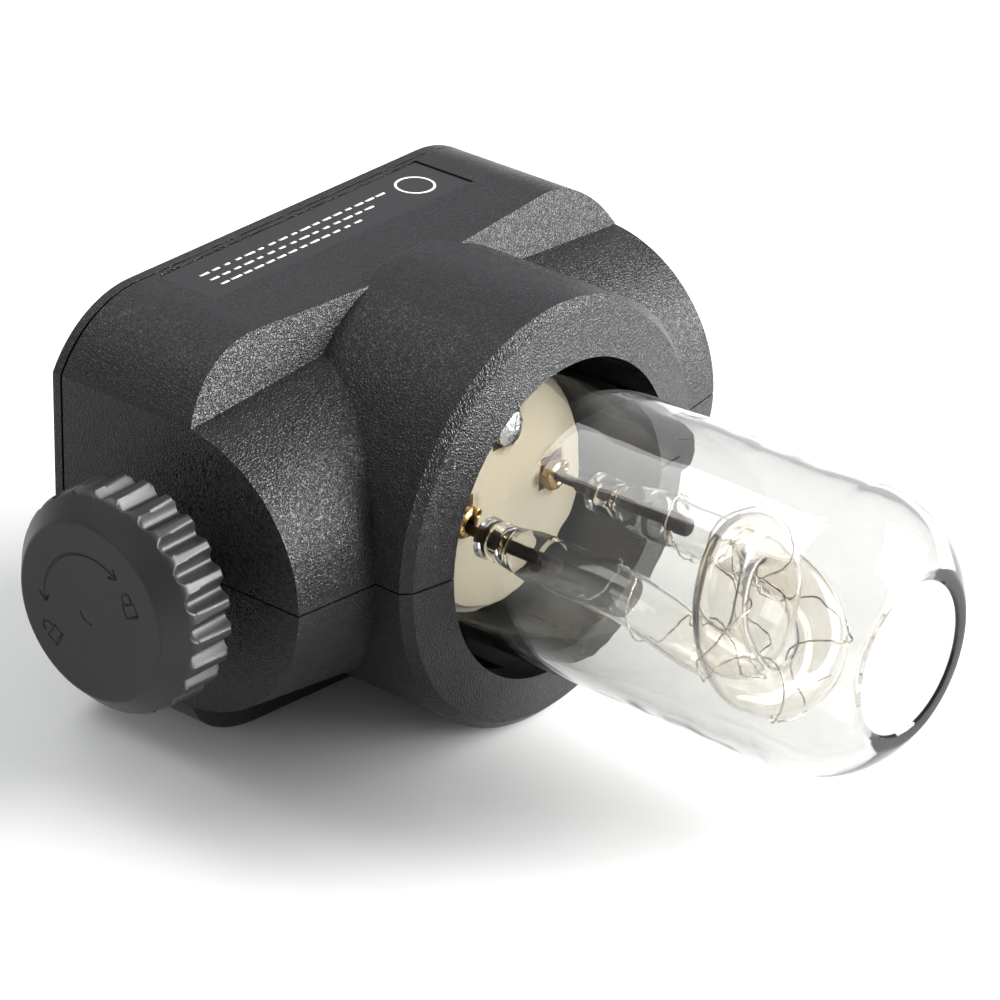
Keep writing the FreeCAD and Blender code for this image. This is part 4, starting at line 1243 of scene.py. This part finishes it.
    def ferrules(self) -> bpy.types.Object:
        """Rolled brass ferrules in the ceramic, each with a small crimped tube at its side.

        Returns:
            Both ferrules, as one piece.
        """
        pieces = []
        outlines = {
            "ferrule": ([(8.0, 0.75, 0), (5.7, 0.75, 0.15), (5.5, 1.1, 0.25), (5.8, 1.75, 0.3), (6.7, 1.9, 0.3),
                         (7.2, 2.0, 0.2), (8.0, 1.6, 0)], 4, 0.0, 0.0, 36),
            "crimp": ([(7.6, 0.32, 0), (5.3, 0.32, 0.08), (5.15, 0.5, 0.1), (5.3, 0.66, 0.1), (7.6, 0.66, 0)],
                      3, 0.9, 1.1, 24),
            "bead": ([(7.4, 0, 0), (5.6, 0, 0), (5.5, 0.4, 0.3), (6.1, 0.8, 0.35), (7.4, 0.7, 0)], 4, -0.7, -1.0, 20)}
        for x in (8.0, -8.0):
            for name, (outline, steps, across, up, segments) in outlines.items():
                pieces.append(lathe(name, rounded(outline, steps), Vector((0, 1, 0)),
                                    Vector((x + across, 0, up)) * MM, segments, closed=True))
        return joined("rolled_ferrules", pieces)

    def terminal(self) -> bpy.types.Object:
        """The solder-filled trigger terminal: a low rough dome in its recess.

        Returns:
            The terminal.
        """
        outline = arc((9.6, 0.0), 3.9, 180.0, 147.0, 8) + [(7.0, 2.15), (8.1, 2.15), (8.1, 0.0)]
        profile = [(a * MM, r * MM) for a, r in outline]
        piece = lathe("solder_terminal", profile, Vector((0, 1, 0)), Vector((-0.4, 0, 8.9)) * MM, 40)
        dice = random.Random(11)
        for vertex in piece.data.vertices:
            if vertex.co.y < 7.0 * MM:
                vertex.co.y += dice.uniform(-0.10, 0.10) * MM
        return piece

    def winding_tree(self) -> bpy.types.NodeTree:
        """A tree that winds a wire round a guide line, uneven and a little loose, and gives it its thickness.

        Returns:
            The tree.
        """
        tree, size = geometry_tree("winding", Turns="Float", Clearance="Float", Slack="Float", Wire="Float",
                                   Seed="Float", Metal="Material")
        line = add(tree, "GeometryNodeMeshToCurve", {0: size["Geometry"]}).outputs[0]
        fine = add(tree, "GeometryNodeResampleCurve", {"Curve": line, "Count": 620}).outputs[0]
        share = add(tree, "GeometryNodeSplineParameter").outputs["Factor"]
        tangent = add(tree, "GeometryNodeInputTangent").outputs[0]
        normal = add(tree, "GeometryNodeInputNormal").outputs[0]
        slow = add(tree, "ShaderNodeMath", {0: share, 1: 9.0}, operation="MULTIPLY").outputs[0]
        seeded = add(tree, "ShaderNodeMath", {0: slow, 1: size["Seed"]}, operation="ADD").outputs[0]
        drift = add(tree, "ShaderNodeTexNoise", {"W": seeded, "Scale": 1.0, "Detail": 1.0},
                    noise_dimensions="1D").outputs["Fac"]
        turns = add(tree, "ShaderNodeMath", {0: share, 1: size["Turns"]}, operation="MULTIPLY").outputs[0]
        even = add(tree, "ShaderNodeMath", {0: turns, 1: 2 * math.pi}, operation="MULTIPLY").outputs[0]
        loose = add(tree, "ShaderNodeMath", {0: drift, 1: 3.2}, operation="MULTIPLY").outputs[0]
        angle = add(tree, "ShaderNodeMath", {0: even, 1: loose}, operation="ADD").outputs[0]
        spoke = add(tree, "ShaderNodeVectorRotate", {"Vector": normal, "Axis": tangent, "Angle": angle},
                    rotation_type="AXIS_ANGLE").outputs[0]
        quick = add(tree, "ShaderNodeMath", {0: share, 1: 60.0}, operation="MULTIPLY").outputs[0]
        ripple = add(tree, "ShaderNodeTexNoise", {"W": quick, "Scale": 1.0, "Detail": 2.0},
                     noise_dimensions="1D").outputs["Fac"]
        slack = add(tree, "ShaderNodeMath", {0: ripple, 1: size["Slack"]}, operation="MULTIPLY").outputs[0]
        reach = add(tree, "ShaderNodeMath", {0: size["Clearance"], 1: slack}, operation="ADD").outputs[0]
        offset = add(tree, "ShaderNodeVectorMath", {0: spoke, "Scale": reach}, operation="SCALE").outputs[0]
        wound = add(tree, "GeometryNodeSetPosition", {"Geometry": fine, "Offset": offset}).outputs[0]
        circle = add(tree, "GeometryNodeCurvePrimitiveCircle", {"Resolution": 8, "Radius": size["Wire"]}).outputs[0]
        bar = add(tree, "GeometryNodeCurveToMesh", {"Curve": wound, "Profile Curve": circle, "Fill Caps": True})
        return completed(tree, bar.outputs["Mesh"], size["Metal"])

    def winding(self) -> bpy.types.Object:
        """The trigger wire: spaced turns along both legs and the coil, with twisted ends that stand off.

        Returns:
            The wire, as one piece.
        """
        tree = self.winding_tree()
        total = len(self.path)
        pieces = []
        for name, first, last, turns, seed in (("near", 0.11, 0.33, 2.2, 3.0), ("coil", 0.33, 0.80, 4.6, 8.0),
                                               ("far", 0.80, 0.91, 1.6, 5.0)):
            stretch = self.path[int(first * total):int(last * total) + 1]
            mesh = bpy.data.meshes.new(name)
            mesh.from_pydata([tuple(p) for p in stretch], [(i, i + 1) for i in range(len(stretch) - 1)], [])
            guide = linked(name, mesh)
            nodes_modifier(guide, tree, {
                "Turns": turns, "Clearance": (self.radius_mm + self.wire_mm + 0.02) * MM, "Slack": 0.35 * MM,
                "Wire": self.wire_mm * MM, "Seed": seed, "Metal": DRAWN_NICKEL.material()})
            pieces.append(plain(guide))
        spurs = bmesh.new()
        for share, tilt in ((0.30, 0.6), (0.42, 2.4), (0.47, 4.4), (0.66, 5.2)):
            swept(spurs, self.spur(share, tilt), lambda _: self.wire_mm * 0.8 * MM, 7)
        pieces.append(object_of("spurs", spurs))
        return joined("trigger_winding", pieces)

    def spur(self, share: float, tilt: float) -> list[Vector]:
        """A short kinked wire end that stands off the tube at a share of its length.

        Args:
            share: where it leaves the tube, as a share of its length.
            tilt: the way it leaves, in radians round the tube.

        Returns:
            The wire end's points.
        """
        index = int(share * (len(self.path) - 1))
        tangent, side, up = frames(self.path)[index]
        away = side * math.cos(tilt) + up * math.sin(tilt)
        base = self.path[index] + away * (self.radius_mm + 0.1) * MM
        kinks = [(0.0, 0.0), (0.49, 0.3), (0.77, 0.9), (1.33, 0.7), (1.61, 1.5)]
        return [base + away * out * MM + tangent * along * MM for out, along in kinks]


# ---------------------------------------------------------------- everything that stays as designed
@dataclass
class DesignedPieces:
    """The CAD nodes whose shape is already right: each takes its slot's finish."""

    def build(self, frame: dict) -> None:
        """Dress every CAD node, shown or not, from the record's slots.
        """
        for part in frame["record"]["subparts"]:
            dressed(frame["nodes"][part["node"]], SLOT_FINISH[part["material_slot"]])
            log.info("%s: dressed as %s", part["node"], SLOT_FINISH[part["material_slot"]].name)


# ---------------------------------------------------------------- studio
@dataclass(frozen=True)
class Lamp:
    """A soft box: where it stands, its size, its power and its colour."""

    name: str
    place: Point
    size: float
    power: float
    colour: str = "#FFFFFF"

    def light(self, target: Vector) -> None:
        """Hang the box and turn it to the target.

        Args:
            target: the point it faces.
        """
        data = bpy.data.lights.new(self.name, "AREA")
        data.shape = "RECTANGLE"
        data.size = self.size * 1.3
        data.size_y = self.size
        data.energy = self.power
        data.color = linear(self.colour)[:3]
        made = linked(self.name, data)
        made.location = self.place
        made.rotation_euler = (target - made.location).to_track_quat("-Z", "Y").to_euler()


@dataclass
class Studio:
    """The pale floor, the soft light and the camera.

    Attributes:
        azimuth: the camera's bearing in degrees; 0 looks along +Y.
        elevation: its height above the horizon in degrees.
        roll: its turn about its own axis in degrees.
        lens: focal length in millimetres, on a 36 mm sensor.
        place_mm: where it stands.
        sky: the colour of the light from all round.
        sky_strength: its strength.
        floor_half: half the floor's width, in metres.
        boxes: the soft boxes.
    """

    azimuth: float = -51.07
    elevation: float = 27.60
    roll: float = 1.546
    lens: float = 162.3
    place_mm: Point = (-358.9, -281.6, 240.3)
    sky: str = "#E9EBEE"
    sky_strength: float = 0.78
    floor_half: float = 3.0
    boxes: tuple[Lamp, ...] = (Lamp("front_right_box", (0.64, -0.60, 0.44), 0.62, 34.0),
                               Lamp("low_box", (0.50, -0.80, 0.17), 0.30, 13.0),
                               Lamp("back_box", (-0.02, 0.46, 0.80), 0.50, 4.5),
                               Lamp("left_box", (-0.75, 0.15, 0.45), 0.30, 1.0))

    def build(self, low: Vector, high: Vector) -> None:
        """Set up the studio round the object's box.

        Args:
            low: the object's lowest corner.
            high: its highest corner.
        """
        target = (low + high) / 2
        self.floor(low.z)
        self.camera()
        world = bpy.data.worlds.new("studio")
        bpy.context.scene.world = world
        world.use_nodes = True
        sky = world.node_tree.nodes["Background"]
        sky.inputs["Color"].default_value = linear(self.sky)
        sky.inputs["Strength"].default_value = self.sky_strength
        for lamp in self.boxes:
            lamp.light(target)
        bpy.context.scene.view_settings.view_transform = "Standard"

    def floor(self, height: float) -> None:
        """Lay the pale floor under the object.

        Args:
            height: the floor's height, in metres.
        """
        mesh = bpy.data.meshes.new("floor")
        half = self.floor_half
        mesh.from_pydata([(-half, -half, height), (half, -half, height), (half, half, height), (-half, half, height)],
                         [], [(0, 1, 2, 3)])
        plane = linked("floor", mesh)
        dressed(plane, Finish("matt_paper", "#CDCDCC", "#CBCBCA", 0.9, 0.02, 300.0))
        plane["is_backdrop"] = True

    def camera(self) -> None:
        """Stand the camera at its viewing angle."""
        azimuth, elevation = math.radians(self.azimuth), math.radians(self.elevation)
        back = Vector((math.sin(azimuth) * math.cos(elevation), -math.cos(azimuth) * math.cos(elevation),
                       math.sin(elevation)))
        level = (-back).cross(Vector((0, 0, 1))).normalized()
        turn = Matrix((level, back.cross(level), back)).transposed().to_4x4()
        data = bpy.data.cameras.new("camera")
        data.lens, data.sensor_width = self.lens, 36.0
        data.clip_start, data.clip_end = 0.01, 20.0
        made = linked("camera", data)
        made.matrix_world = (Matrix.Translation(Vector(self.place_mm) * MM) @ turn
                             @ Matrix.Rotation(math.radians(self.roll), 4, "Z"))
        bpy.context.scene.camera = made


def corners(box: tuple[Vector, Vector]) -> list[list[float]]:
    """A box's two corners as plain lists."""
    return [list(box[0]), list(box[1])]


def main() -> None:
    """Build the studio and every piece."""
    logging.basicConfig(level=logging.INFO, format="%(name)s: %(message)s")
    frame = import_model()
    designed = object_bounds()
    DesignedPieces().build(frame)
    Studio().build(*designed)
    Housing().build()
    ClampKnob().build()
    GlassDome().build()
    FlashTube().build()


if __name__ == "__main__":
    main()
